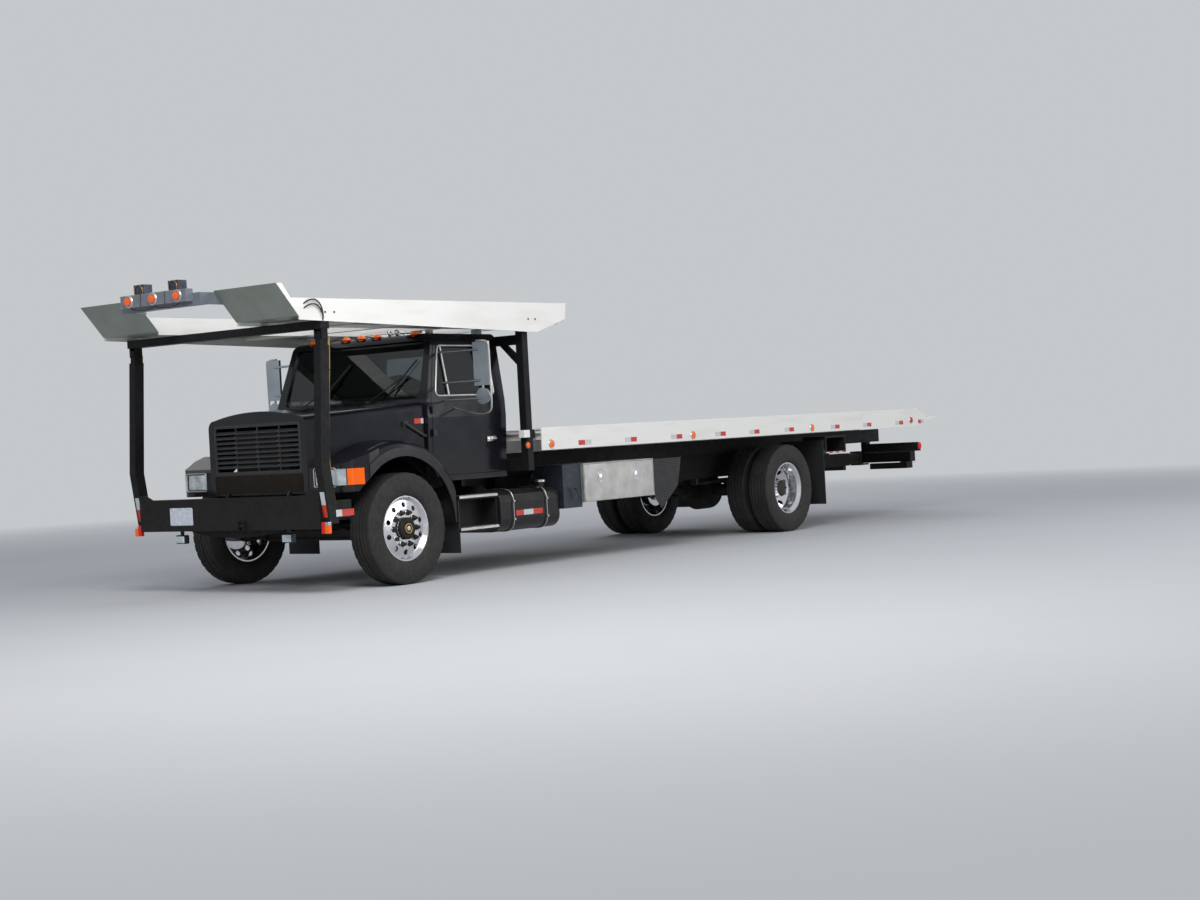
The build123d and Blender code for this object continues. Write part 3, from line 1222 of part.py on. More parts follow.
def deck():
    """Deck floor, side rails, cross members and the beams that ride on the subframe."""
    pieces = both_sides(deck_rail())
    floor = side_plate([(BED_FRONT, BED_FLOOR), (BED_FRONT, BED_FLOOR - BED_FLOOR_T),
                        (BED_REAR, BED_FLOOR - BED_FLOOR_T), (BED_TIP, BED_TOP - 128),
                        (BED_TIP, BED_TOP - 112),
                        (BED_REAR, BED_FLOOR)], -BED_HALF + 12, BED_HALF - 12)
    pieces.append(floor)
    top = BED_FLOOR - BED_FLOOR_T
    count = 18
    for i in range(count):
        x = BED_FRONT - 60 - i * (BED_FRONT - BED_REAR - 160) / (count - 1)
        pieces.append(channel(x, -BED_HALF + 12, BED_HALF - 12, top - BED_MEMBER_H, top, 50, 8))
    for s in (1, -1):
        y0, y1 = sorted((s * (BEAM_Y - 40), s * (BEAM_Y + 40)))
        z0, z1 = SUB_TOP + RUN_GAP, top - BED_MEMBER_H
        pieces.append(box_tube(BED_REAR + 80, BED_FRONT - 20, y0, y1, z0, z1, 8, "X"))
    return fused(pieces)


def slide_cylinder():
    """Long cylinder that slides the deck, and its rod."""
    z = SUB_TOP + 60
    closed = SLIDE_HEAD - SLIDE_CAP
    barrel = rod((SLIDE_MOUTH, 0, z), (closed, 0, z), 42, 24 + RUN_GAP)
    foot = block(closed + 5, SLIDE_HEAD, -40, 40, SUB_TOP - 8, z - 30)
    end = rod((closed, 0, z), (SLIDE_HEAD, 0, z), 42)
    ram = rod((SLIDE_MOUTH - 150, 0, z), (closed - 10, 0, z), 24)
    lug = block(SLIDE_MOUTH - 190, SLIDE_MOUTH - 130, -35, 35, z - 30, BED_FLOOR - BED_FLOOR_T)
    return fused([barrel, foot, end]), fused([ram, lug])


def tilt_barrels():
    """Barrels of the two tilt cylinders."""
    barrels = []
    for s in (1, -1):
        y = s * TILT_CYL_Y
        run = Vector(TILT_EYE_X - TILT_BASE_X, 0, TILT_EYE_Z - TILT_BASE_Z)
        unit = run.normalized()
        start = Vector(TILT_BASE_X, y, TILT_BASE_Z)
        a, b = start + unit * 85, start + unit * 1020
        barrel = rod(tuple(a), tuple(b), CYL_R, ROD_R + RUN_GAP)
        cap = rod(tuple(a), tuple(a + unit * 30), CYL_R)
        neck = rod(tuple(start), tuple(a), TILT_EYE_HALF - 4)
        eye = rod((TILT_BASE_X, y - TILT_EYE_HALF, TILT_BASE_Z),
                  (TILT_BASE_X, y + TILT_EYE_HALF, TILT_BASE_Z), 60)
        hole = rod((TILT_BASE_X, y - TILT_EYE_HALF, TILT_BASE_Z),
                   (TILT_BASE_X, y + TILT_EYE_HALF, TILT_BASE_Z),
                   TILT_PIN_R + RUN_GAP)
        barrels.append(fused([barrel, cap, neck, eye]) - hole)
    return barrels


def tilt_rods():
    """Rods of the two tilt cylinders, with their eyes."""
    rods = []
    for s in (1, -1):
        y = s * TILT_CYL_Y
        run = Vector(TILT_EYE_X - TILT_BASE_X, 0, TILT_EYE_Z - TILT_BASE_Z)
        unit = run.normalized()
        start = Vector(TILT_BASE_X, y, TILT_BASE_Z)
        a, b = start + unit * 130, start + unit * (run.length - 20)
        bar = rod(tuple(a), tuple(b), ROD_R)
        eye = rod((TILT_EYE_X, y - 30, TILT_EYE_Z), (TILT_EYE_X, y + 30, TILT_EYE_Z), 42)
        pin = rod((TILT_EYE_X, y - 47, TILT_EYE_Z), (TILT_EYE_X, y + 47, TILT_EYE_Z), 20)
        rods.append(fused([bar, eye, pin]))
    return rods


def tail_lights():
    """Lamp beams under the tail, one each side."""
    beams = []
    for s in (1, -1):
        y0, y1 = sorted((s * (BEAM_Y - 40), s * 1200))
        beam = block(TAIL_LAMP_X - 90, TAIL_LAMP_X, y0, y1, 780, 890)
        h0, h1 = sorted((s * (BEAM_Y - 40), s * (BEAM_Y + 40)))
        beam += block(TAIL_LAMP_X - 90, TAIL_LAMP_X, h0, h1, 890, SUB_LOW)
        beam += rod((TAIL_LAMP_X - 115, s * 1120, 835), (TAIL_LAMP_X - 90, s * 1120, 835), 40)
        beams.append(beam)
    return beams


def lift_brackets():
    """Plates under the subframe that carry the lift's pivot."""
    plates = []
    for s in (1, -1):
        y0, y1 = sorted((s * (BOOM_SIZE / 2 + 3), s * (BOOM_SIZE / 2 + 25)))
        plate = side_plate([(LIFT_PIN_X - 90, LIFT_PIN_Z - 60), (LIFT_PIN_X + 90, LIFT_PIN_Z - 60),
                            (LIFT_PIN_X + 360, SUB_LOW + 20), (LIFT_PIN_X - 200, SUB_LOW + 20)], y0, y1)
        plates.append(plate)
    reach = BEAM_Y - BEAM_W / 2
    cross = block(LIFT_PIN_X - 45, LIFT_PIN_X + 45, -reach, reach, SUB_LOW + 20, SUB_TOP - 8)
    half = BOOM_SIZE / 2 + 25
    pin = rod((LIFT_PIN_X, -half, LIFT_PIN_Z), (LIFT_PIN_X, half, LIFT_PIN_Z), BOOM_PIN_R)
    return plates + [pin, cross]


def lift_boom():
    """Outer tube of the wheel lift."""
    half = BOOM_SIZE / 2
    tube = box_tube(BOOM_REAR, LIFT_PIN_X + 80, -half, half, LIFT_PIN_Z - half, LIFT_PIN_Z + half, BOOM_WALL,
                    "X")
    return tube - rod((LIFT_PIN_X, -half, LIFT_PIN_Z), (LIFT_PIN_X, half, LIFT_PIN_Z), BOOM_PIN_R + RUN_GAP)


def lift_stinger():
    """Inner tube of the wheel lift with the crossbar's pivot plate."""
    half = STINGER_SIZE / 2
    tube = block(CROSSBAR_X + CROSSBAR_SIZE / 2 + 40, LIFT_PIN_X - 60, -half, half, LIFT_PIN_Z - half,
                 LIFT_PIN_Z + half)
    plates = []
    for z0 in (LIFT_PIN_Z - CROSSBAR_SIZE / 2 - 26, LIFT_PIN_Z + CROSSBAR_SIZE / 2 + 6):
        plates.append(block(CROSSBAR_X - 60, CROSSBAR_X + 160, -75, 75, z0, z0 + 20))
    low, high = LIFT_PIN_Z - CROSSBAR_SIZE / 2 - 26, LIFT_PIN_Z + CROSSBAR_SIZE / 2 + 26
    back = block(CROSSBAR_X + CROSSBAR_SIZE / 2 + 40, CROSSBAR_X + 160, -75, 75, low, high)
    pin = rod((CROSSBAR_X, 0, low), (CROSSBAR_X, 0, high), CROSSBAR_PIN_R)
    return fused([tube] + plates + [back, pin])


def lift_crossbar():
    """Swivelling crossbar with folded wheel arms."""
    half = CROSSBAR_SIZE / 2
    bar = block(CROSSBAR_X - half, CROSSBAR_X + half, -CROSSBAR_HALF, CROSSBAR_HALF, LIFT_PIN_Z - half,
                LIFT_PIN_Z + half)
    pieces = [bar]
    for s in (1, -1):
        y0, y1 = sorted((s * 200, s * (CROSSBAR_HALF - 20)))
        arm = block(CROSSBAR_X + half, CROSSBAR_X + half + 70, y0, y1, LIFT_PIN_Z - 150, LIFT_PIN_Z - 75)
        hang = block(CROSSBAR_X - 20, CROSSBAR_X + half + 70, min(s * 640, s * 740), max(s * 640, s * 740),
                     LIFT_PIN_Z - 150, LIFT_PIN_Z - half)
        pieces += [arm, hang]
    whole = fused(pieces)
    for s in (1, -1):
        whole -= rod((CROSSBAR_X, s * 700, LIFT_PIN_Z - 160), (CROSSBAR_X, s * 700, LIFT_PIN_Z + half + 5),
                     16)
    whole -= rod((CROSSBAR_X, 0, LIFT_PIN_Z - half), (CROSSBAR_X, 0, LIFT_PIN_Z + half),
                 CROSSBAR_PIN_R + RUN_GAP)
    return whole


def main():
    os.makedirs("parts", exist_ok=True)
    ship("frame_rails", *frame_rails())
    ship("frame_members", *frame_members())
    ship("bumper", bumper())
    ship("front_posts", *front_posts())
    ship("rear_posts", rear_posts())
    ship("axles", *axles())
    ship("leaf_springs", *leaf_springs())
    ship("engine_block", *engine_block())
    ship("drive_shaft", drive_shaft())
    ship("exhaust", exhaust())
    ship("cab_shell", cab_shell())
    ship("cab_glass", *cab_glass())
    ship("cab_interior", cab_interior())
    ship("seats", *seats())
    ship("fuel_tanks", *fuel_tank())
    ship("cab_steps", *cab_steps())
    ship("tool_boxes", tool_box(1), tool_box(-1))
    ship("mud_flaps", *mud_flaps())
    ship("light_boxes", *light_boxes())
    ship("hood_shell", hood_shell())
    ship("fenders", *fenders())
    ship("grille", grille())
    ship("headlamps", *headlamps())
    ship("turn_signals", *turn_signals())
    for name, s in (("left", 1), ("right", -1)):
        ship(f"door_{name}", door(s))
        ship(f"door_glass_{name}", door_glass(s))
        ship(f"mirror_{name}", mirror_set(s))
        ship(f"knuckle_{name}", knuckle(s))
        ship(f"tool_door_{name}", tool_box_door(s))
        front_y = s * FRONT_TRACK / 2
        ship(f"front_tyre_{name}", tyre(front_y))
        front_hub = hub(s * (KINGPIN_Y + 80), front_y + s * 110, HUB_R)
        front_hub -= rod((0, s * (KINGPIN_Y + 70), AXLE_Z), (0, s * (KINGPIN_Y + 190) + s * 6, AXLE_Z), 39)
        ship(f"front_wheel_{name}", fused([wheel(front_y, 72, s), front_hub]))
        duals = [Pos(REAR_X, 0, 0) * tyre(s * y) for y in (DUAL_OUTER_Y, DUAL_INNER_Y)]
        ship(f"rear_tyres_{name}", *duals)
        outer = wheel(s * DUAL_OUTER_Y, -DUAL_DISH, s)
        inner = wheel(s * DUAL_INNER_Y, DUAL_DISH, s)
        rear_hub = hub(s * (DUAL_INNER_Y - HUB_REACH), s * (DUAL_OUTER_Y + 10), HUB_R)
        drum = hub(s * (DUAL_INNER_Y - 110), s * (DUAL_INNER_Y + DUAL_DISH - DISC_T / 2), DRUM_R)
        ship(f"rear_wheels_{name}", Pos(REAR_X, 0, 0) * fused([outer, inner, rear_hub, drum]))
    ship("rack_tracks", rack_tracks())
    ship("rack_beam", rack_beam())
    ship("rack_lamps", rack_lamps())
    ship("rack_rams", *rack_rams())
    barrel, ram = slide_cylinder()
    ship("subframe", *subframe())
    ship("subframe_members", subframe_members())
    ship("slide_barrel", barrel)
    ship("slide_rod", ram)
    ship("deck", deck())
    ship("tail_lights", *tail_lights())
    ship("tilt_barrels", *tilt_barrels())
    ship("tilt_rods", *tilt_rods())
    ship("lift_boom", lift_boom())
    ship("lift_stinger", lift_stinger())
    ship("lift_crossbar", lift_crossbar())


main()
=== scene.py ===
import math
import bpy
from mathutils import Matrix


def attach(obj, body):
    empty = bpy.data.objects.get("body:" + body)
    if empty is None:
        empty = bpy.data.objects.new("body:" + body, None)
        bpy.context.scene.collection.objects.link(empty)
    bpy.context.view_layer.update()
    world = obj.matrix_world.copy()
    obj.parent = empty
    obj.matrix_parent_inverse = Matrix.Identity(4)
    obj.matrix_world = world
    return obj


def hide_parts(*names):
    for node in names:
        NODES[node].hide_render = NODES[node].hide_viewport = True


bl_info = {
    "name": "Rollback tow truck",
    "version": (1, 0, 0),
    "blender": (4, 5, 0),
    "location": "3D View > Sidebar > Tow truck",
    "description": "Dresses the packed tow truck frame with its finishes, tyres, lamps and fittings",
    "category": "Object",
}

import bmesh
import bpy
from mathutils import Matrix, Vector

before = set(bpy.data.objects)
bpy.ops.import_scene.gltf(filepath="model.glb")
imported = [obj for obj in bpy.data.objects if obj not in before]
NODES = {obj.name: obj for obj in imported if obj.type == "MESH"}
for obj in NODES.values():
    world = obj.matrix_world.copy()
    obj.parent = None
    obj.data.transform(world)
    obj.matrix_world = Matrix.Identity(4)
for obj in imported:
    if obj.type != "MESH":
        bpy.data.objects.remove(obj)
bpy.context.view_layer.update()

# Stations: millimetres from the front axle, forward, to the left, and up from the ground
AXLE_X = 4.122
WHEELBASE = 6200
AXLE_Z = 490
FRONT_TYRE_Y = 1015
REAR_OUTER_Y = 1080
REAR_INNER_Y = 780
FRONT_NUT_Y = 1096
REAR_NUT_Y = 948
NUT_CIRCLE_R = 142.9
NUTS = 10
DECK_SIDE = 1250
BOX_SIDE = 1200
WINDOW_LOW = 1645
WINDOW_HIGH = 2105
SIDES = (("left", 1), ("right", -1))

# Mesh detail
TYRE_STEPS = 180
LUG_STEPS = 5
LUG_DEPTH = 7
HOSE_STEPS = 10
CORNER_STEPS = 6
CUSHION_CUTS = 14
SHARP_ANGLE = math.radians(35)

# Stage
BACKDROP = (0.56, 0.58, 0.60)
SOFT_LIGHT = (0.80, 0.86, 0.96)
SOFT_STRENGTH = 0.42
FLOOR_HALF = 60.0
CAMERA_PLACE = (12326.6, 12713.7, 1259.4)
CAMERA_ANGLES = (-142.585, -0.605, -3.109)
CAMERA_LENS = 57.87

# Area lamps: name, place and aim in metres, width in metres, power in watts
LAMPS = (("key", (10.0, 7.0, 8.5), (1.5, 0.0, 1.0), 6.0, 900),
         ("side", (-5.0, 13.0, 5.0), (-1.0, 0.0, 1.0), 8.0, 560),
         ("back", (-9.0, -8.0, 9.0), (0.0, 0.0, 1.0), 7.0, 300))


def at(x, y, z):
    """Station millimetres to a point of the frame in metres."""
    return Vector((x / 1000 + AXLE_X, y / 1000, z / 1000))


# Materials

class Tree:
    """Short hand for adding and joining shader nodes."""

    def __init__(self, owner):
        self.tree = owner.node_tree
        self.shader = self.tree.nodes.get("Principled BSDF")
        self.coords = self.tree.nodes.new("ShaderNodeTexCoord").outputs["Object"]

    def add(self, kind, inputs=None, **settings):
        node = self.tree.nodes.new(kind)
        for key, value in settings.items():
            setattr(node, key, value)
        for key, value in (inputs or {}).items():
            self.join(value, node.inputs[key])
        return node

    def join(self, value, socket):
        if isinstance(value, bpy.types.NodeSocket):
            self.tree.links.new(value, socket)
        elif socket.type == "RGBA":
            socket.default_value = (*value, 1.0)
        else:
            socket.default_value = value

    def noise(self, scale, detail, stretch=None):
        vector = self.coords
        if stretch:
            vector = self.add("ShaderNodeMapping", {"Vector": vector, "Scale": stretch}).outputs["Vector"]
        return self.add("ShaderNodeTexNoise", {"Vector": vector, "Scale": scale, "Detail": detail,
                                               "Roughness": 0.55}).outputs["Fac"]

    def cells(self, scale, feature="F1"):
        return self.add("ShaderNodeTexVoronoi", {"Vector": self.coords, "Scale": scale},
                        feature=feature).outputs["Distance"]

    def ramp(self, factor, low, high, start=0.0, end=1.0):
        return self.add("ShaderNodeMapRange", {"Value": factor, "From Min": low, "From Max": high,
                                               "To Min": start, "To Max": end}).outputs["Result"]

    def mix(self, factor, one, two):
        node = self.add("ShaderNodeMix", data_type="RGBA")
        for value, name in ((factor, "Factor"), (one, "A"), (two, "B")):
            self.join(value, node.inputs[name])
        return node.outputs["Result"]

    def math(self, operation, one, two=0.0):
        return self.add("ShaderNodeMath", {0: one, 1: two}, operation=operation).outputs["Value"]

    def parts(self, vector, name):
        return self.add("ShaderNodeSeparateXYZ", {"Vector": vector}).outputs[name]

    def axis(self, name):
        return self.parts(self.coords, name)

    def facing(self, name):
        return self.parts(self.add("ShaderNodeNewGeometry").outputs["Normal"], name)

    def bump(self, height, distance, strength):
        node = self.add("ShaderNodeBump", {"Height": height, "Distance": distance, "Strength": strength})
        self.join(node.outputs["Normal"], self.shader.inputs["Normal"])

    def surface(self, **values):
        names = {"color": "Base Color", "metal": "Metallic", "rough": "Roughness", "ior": "IOR",
                 "coat": "Coat Weight", "coat_rough": "Coat Roughness", "specular": "Specular IOR Level",
                 "clear": "Transmission Weight", "glow": "Emission Color",
                 "glow_strength": "Emission Strength"}
        for key, value in values.items():
            self.join(value, self.shader.inputs[names[key]])


def tint(color, scale, lift=0.0):
    """Colour scaled, by one number or one for each channel, then lifted."""
    scales = scale if isinstance(scale, tuple) else (scale,) * 3
    return [c * f + lift for c, f in zip(color, scales)]


def road_dust(t, color, dust, low, high, most):
    """Mixes dust into a colour below a height, broken up by noise."""
    height = t.ramp(t.axis("Z"), high, low, 0.0, most)
    return t.mix(t.math("MULTIPLY", height, t.noise(6.0, 6.0)), color, dust)


def cab_paint(t):
    """Old gloss paint with polishing haze and dust low down."""
    color = colours().cab
    shade = t.mix(t.ramp(t.noise(2.2, 5.0), 0.35, 0.7), color, tint(color, 1.6, 0.002))
    shade = road_dust(t, shade, (0.05, 0.042, 0.034), 0.7, 1.2, 0.4)
    t.surface(color=shade, rough=t.ramp(t.noise(9.0, 6.0), 0.3, 0.75, 0.10, 0.26), specular=0.3, coat=0.12,
              coat_rough=0.05)
    t.bump(t.noise(5.0, 2.0), 0.004, 0.12)


def satin_paint(t, color, most=0.45):
    """Brushed-on chassis paint with fine scuffs."""
    scuff = t.ramp(t.noise(24.0, 8.0, stretch=(0.4, 1.0, 1.0)), 0.56, 0.72)
    shade = t.mix(t.math("MULTIPLY", scuff, 0.3), color, tint(color, 2.2, 0.012))
    shade = road_dust(t, shade, (0.06, 0.05, 0.04), 0.3, 1.2, most)
    t.surface(color=shade, rough=t.ramp(t.noise(14.0, 5.0), 0.3, 0.7, 0.36, 0.62), specular=0.14)
    t.bump(t.noise(180.0, 3.0), 0.0008, 0.35)


def chassis_paint(t):
    """Satin paint in the colour of the settings."""
    satin_paint(t, colours().chassis)


def white_enamel(t, underside_shade):
    """White enamel outside, a mottled grey painted shade on faces turned down, and a scraped floor plate.
    """
    color = colours().enamel
    stain = t.ramp(t.noise(5.0, 8.0, stretch=(0.35, 1.0, 2.2)), 0.5, 0.82, 0.0, 0.55)
    outside = t.mix(stain, color, tint(color, (0.78, 0.74, 0.66)))
    # Faces turned down get a mottled grey: painted shade under the rails and the deck.
    shaded_underside = t.mix(t.noise(4.0, 6.0), underside_shade, tint(underside_shade, (0.6, 0.66, 0.55)))
    side = t.math("ABSOLUTE", t.facing("Y"))
    shade = t.mix(t.ramp(t.facing("Z"), -0.35, -0.55), outside, shaded_underside)
    scrape = t.ramp(t.noise(3.0, 9.0, stretch=(0.15, 2.5, 1.0)), 0.35, 0.65)
    floor = t.mix(scrape, (0.30, 0.29, 0.27), (0.16, 0.145, 0.13))
    shade = t.mix(t.ramp(t.facing("Z"), 0.75, 0.9), shade, floor)
    t.surface(color=shade, rough=t.ramp(side, 0.2, 0.9, 0.5, 0.3), coat=0.15)
    t.bump(t.noise(90.0, 3.0), 0.0006, 0.3)


def bare_metal(t, color, low, high, cloud=3.0, swirl=0.12):
    """Bare metal with clouded tint and brushed roughness."""
    clouds = t.ramp(t.noise(cloud, 7.0), 0.3, 0.72)
    t.surface(color=t.mix(clouds, color, tint(color, 1 - swirl * 2.2)), metal=1.0,
              rough=t.ramp(t.noise(cloud * 5, 8.0), 0.25, 0.8, low, high))
    t.bump(t.noise(cloud * 50, 3.0), 0.0004, 0.35)


def tyre_rubber(t):
    """Tyre rubber with dusty sidewalls."""
    dusty = t.math("MULTIPLY", t.ramp(t.noise(7.0, 6.0), 0.35, 0.75, 0.1, 0.75), 0.6)
    shade = t.mix(dusty, (0.010, 0.010, 0.011), (0.048, 0.038, 0.028))
    t.surface(color=shade, rough=t.ramp(t.noise(30.0, 4.0), 0.3, 0.7, 0.62, 0.86))
    t.bump(t.noise(260.0, 3.0), 0.0009, 0.4)


def soft_rubber(t, color, rough=0.62):
    """Rubber or dull plastic with a cloudy bloom."""
    shade = t.mix(t.noise(9.0, 5.0), color, tint(color, 1.9, 0.012))
    t.surface(color=shade, rough=t.ramp(t.noise(22.0, 4.0), 0.3, 0.7, rough - 0.1, rough + 0.14))
    t.bump(t.noise(160.0, 3.0), 0.0007, 0.4)


def masked(t, first, second, axis, low, high, rough=0.4, metal=0.0):
    """Two colours of one casting or pressing, parted along an axis; on the tool boxes the blue tint of the
    second colour is a painted sky reflection.
    """
    shade = t.mix(t.ramp(t.axis(axis), low, high), first, second)
    worn = t.ramp(t.noise(11.0, 6.0), 0.45, 0.75, 0.0, 0.4)
    t.surface(color=t.mix(worn, shade, (0.10, 0.095, 0.09)), metal=metal,
              rough=t.ramp(t.noise(16.0, 5.0), 0.3, 0.7, rough - 0.08, rough + 0.16))
    t.bump(t.noise(120.0, 3.0), 0.0006, 0.3)


def tread_plate(t):
    """Aluminium tread plate on the guards, rubber on the flaps ahead and behind."""
    along, up = t.axis("X"), t.axis("Z")
    ways = [t.math(way, along, up) for way in ("ADD", "SUBTRACT")]
    waves = [t.math("SINE", t.math("MULTIPLY", way, 190.0)) for way in ways]
    bars = t.ramp(t.math("MULTIPLY", *waves), 0.35, 0.6)
    plate = t.math("MULTIPLY", t.ramp(along, -0.45, -0.44), t.ramp(along, 1.5, 1.49))
    dirt = t.ramp(t.noise(8.0, 6.0), 0.35, 0.7)
    ground = t.mix(dirt, (0.03, 0.03, 0.032), (0.018, 0.017, 0.016))
    metal = t.mix(bars, ground, (0.10, 0.10, 0.10))
    t.surface(color=t.mix(plate, (0.014, 0.014, 0.015), metal), metal=t.math("MULTIPLY", plate, 0.6),
              rough=t.ramp(plate, 0.0, 1.0, 0.7, 0.38))
    t.bump(t.math("MULTIPLY", bars, plate), 0.0016, 0.8)


def fluted_glass(t):
    """Headlamp glass over its reflector."""
    flutes = t.math("SINE", t.math("MULTIPLY", t.axis("Y"), 700.0))
    shade = t.mix(t.ramp(t.noise(9.0, 3.0), 0.35, 0.7), (0.90, 0.96, 0.98), (0.40, 0.50, 0.54))
    t.surface(color=shade, metal=0.85, rough=0.10, coat=0.8)
    t.bump(flutes, 0.0015, 0.5)


def pane(t):
    """Grey window glass with a little smear."""
    t.surface(color=t.mix(t.noise(3.0, 4.0), (0.30, 0.34, 0.35), (0.24, 0.28, 0.29)), clear=1.0,
              ior=1.45, rough=t.ramp(t.noise(12.0, 6.0), 0.4, 0.8, 0.0, 0.04))


def lens(t, color, glow):
    """Moulded lamp lens with fine optic ribs."""
    ribs = t.cells(90.0)
    t.surface(color=t.mix(ribs, color, tint(color, 0.55)), rough=0.25, specular=0.3, glow=color,
              glow_strength=glow)
    t.bump(ribs, 0.002, 0.5)


def reflective_tape(t, color):
    """Tape with a honeycomb of cells under a clear face."""
    cell = t.ramp(t.cells(260.0, "DISTANCE_TO_EDGE"), 0.0, 0.09)
    t.surface(color=t.mix(cell, tint(color, 0.7), color), rough=0.22, coat=0.4)
    t.bump(cell, 0.0004, 0.4)


def woven(t, color):
    """Seat cloth."""
    threads = [t.noise(420.0, 2.0, stretch=stretch) for stretch in ((1.0, 0.25, 1.0), (0.25, 1.0, 0.25))]
    weave = t.math("MULTIPLY", *threads)
    t.surface(color=t.mix(t.ramp(weave, 0.12, 0.4), color, tint(color, 1.8)), rough=0.9)
    t.bump(weave, 0.0015, 0.6)


def fading_floor(t):
    """Pale floor that passes into the backdrop far from the truck."""
    x, y = t.axis("X"), t.axis("Y")
    spread = t.math("ADD", t.math("MULTIPLY", x, x), t.math("MULTIPLY", y, y))
    far = t.ramp(spread, 70.0, 380.0)
    pale = t.mix(t.noise(0.8, 5.0), (0.57, 0.58, 0.59), (0.61, 0.61, 0.62))
    black = (0, 0, 0)
    t.surface(color=t.mix(far, pale, black), rough=0.9, specular=0.0, glow_strength=1.0,
              glow=t.mix(far, black, BACKDROP))


# Mesh building

def link(name, data):
    """Puts an object of this data into the scene."""
    piece = bpy.data.objects.new(name, data)
    bpy.context.scene.collection.objects.link(piece)
    return piece


def dress(piece, finishes, body):
    """Gives a piece its finishes and its body."""
    names = finishes if isinstance(finishes, list) else [finishes]
    for name in names:
        piece.data.materials.append(finish(name))
    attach(piece, body)


class Shape:
    """Collects simple solids in one mesh. Lengths are in millimetres and places are stations."""

    def __init__(self):
        self.bm = bmesh.new()
        self.mark = 0

    def paint(self, index):
        """Gives the faces made since the last call this material number."""
        self.bm.faces.ensure_lookup_table()
        for face in self.bm.faces[self.mark:]:
            face.material_index = index
        self.mark = len(self.bm.faces)

    def box(self, x0, x1, y0, y1, z0, z1):
        low, high = at(min(x0, x1), min(y0, y1), min(z0, z1)), at(max(x0, x1), max(y0, y1), max(z0, z1))
        made = bmesh.ops.create_cube(self.bm, size=1.0)["verts"]
        bmesh.ops.scale(self.bm, vec=high - low, verts=made)
        bmesh.ops.translate(self.bm, vec=(low + high) / 2, verts=made)

    def side(self, s, x0, x1, y0, y1, z0, z1):
        """Box on one side of the truck, y counted outward."""
        self.box(x0, x1, s * y0, s * y1, z0, z1)

    def plate(self, outline, direction, depth):
        """Flat outline of stations, pushed along direction."""
        push = Vector(direction) * depth / 1000
        near = [self.bm.verts.new(at(*p)) for p in outline]
        far = [self.bm.verts.new(at(*p) + push) for p in outline]
        self.bm.faces.new(near)
        self.bm.faces.new(far[::-1])
        count = len(near)
        for i in range(count):
            self.bm.faces.new((near[i], near[(i + 1) % count], far[(i + 1) % count], far[i]))

    def rod(self, start, end, radius, sides=20):
        start, end = at(*start), at(*end)
        run = end - start
        turn = run.to_track_quat("Z", "Y").to_matrix().to_4x4()
        matrix = Matrix.Translation((start + end) / 2) @ turn
        bmesh.ops.create_cone(self.bm, cap_ends=True, segments=sides, radius1=radius / 1000,
                              radius2=radius / 1000, depth=run.length, matrix=matrix)

    def stud(self, s, x, y, z, length, radius, sides=20):
        """Rod that stands out from one side of the truck."""
        self.rod((x, s * y, z), (x, s * (y + length), z), radius, sides)

    def skin(self, rings, closed):
        """Faces between neighbouring rings, and from the last to the first if closed."""
        pairs = list(zip(rings, rings[1:]))
        if closed:
            pairs.append((rings[-1], rings[0]))
        for one, two in pairs:
            for i in range(len(one)):
                j = (i + 1) % len(one)
                self.bm.faces.new((one[i], one[j], two[j], two[i]))

    def lathe(self, centre, axis, profile, sides, closed=True):
        """Profile of (radius, along), turned about axis through centre."""
        turn = Vector(axis).to_track_quat("Z", "Y").to_matrix()
        rings = []
        for radius, along in profile:
            points = [Vector((a, b, along)) / 1000 for a, b in on_circle(sides, radius)]
            rings.append([self.bm.verts.new(at(*centre) + turn @ point) for point in points])
        self.skin(rings, closed)
        if not closed:
            for ring in (rings[0], rings[-1]):
                self.bm.faces.new(ring)

    def ball(self, centre, radius, squash=(1, 1, 1), detail=12):
        matrix = Matrix.Translation(at(*centre)) @ Matrix.Diagonal((*squash, 1))
        bmesh.ops.create_uvsphere(self.bm, u_segments=detail * 2, v_segments=detail, radius=radius / 1000,
                                  matrix=matrix)

    def make(self, name, finishes, body, bevel=0.0, slot=None):
        """Turns what was collected into a piece, its edges rounded by bevel, and starts anew."""
        bmesh.ops.recalc_face_normals(self.bm, faces=self.bm.faces)
        mesh = bpy.data.meshes.new(name)
        self.bm.to_mesh(mesh)
        self.bm.free()
        mesh.shade_smooth()
        mesh.set_sharp_from_angle(angle=SHARP_ANGLE)
        piece = link(name, mesh)
        if bevel:
            edge = piece.modifiers.new("soft_edges", "BEVEL")
            edge.width = bevel / 1000
            edge.segments = 2
            edge.limit_method = "ANGLE"
            edge.angle_limit = SHARP_ANGLE
            edge.harden_normals = True
        dress(piece, finishes, body)
        self.bm = bmesh.new()
        self.mark = 0
        return piece


def hose(name, points, diameter, finishes, body, slot=None, ring=False):
    """Smooth tube along station points, or a ring of straight runs through them."""
    curve = bpy.data.curves.new(name, "CURVE")
    curve.dimensions = "3D"
    curve.bevel_depth = diameter / 2000
    curve.bevel_resolution = 3
    curve.use_fill_caps = not ring
    spline = curve.splines.new("POLY" if ring else "NURBS")
    spline.points.add(len(points) - 1)
    for point, place in zip(spline.points, points):
        point.co = (*at(*place), 1.0)
    spline.use_cyclic_u = ring
    if not ring:
        spline.use_endpoint_u = True
        spline.order_u = 3
        spline.resolution_u = HOSE_STEPS
    dress(link(name, curve), finishes, body)


def rounded(points, radius):
    """Flat outline with its corners rounded."""
    made = []
    count = len(points)
    for i in range(count):
        corner = Vector(points[i])
        before = (Vector(points[i - 1]) - corner).normalized()
        after = (Vector(points[(i + 1) % count]) - corner).normalized()
        reach = radius / math.tan(before.angle(after) / 2)
        start, end = corner + before * reach, corner + after * reach
        for k in range(CORNER_STEPS + 1):
            f = k / CORNER_STEPS
            made.append((start * (1 - f) + corner * f) * (1 - f) + (corner * (1 - f) + end * f) * f)
    return made


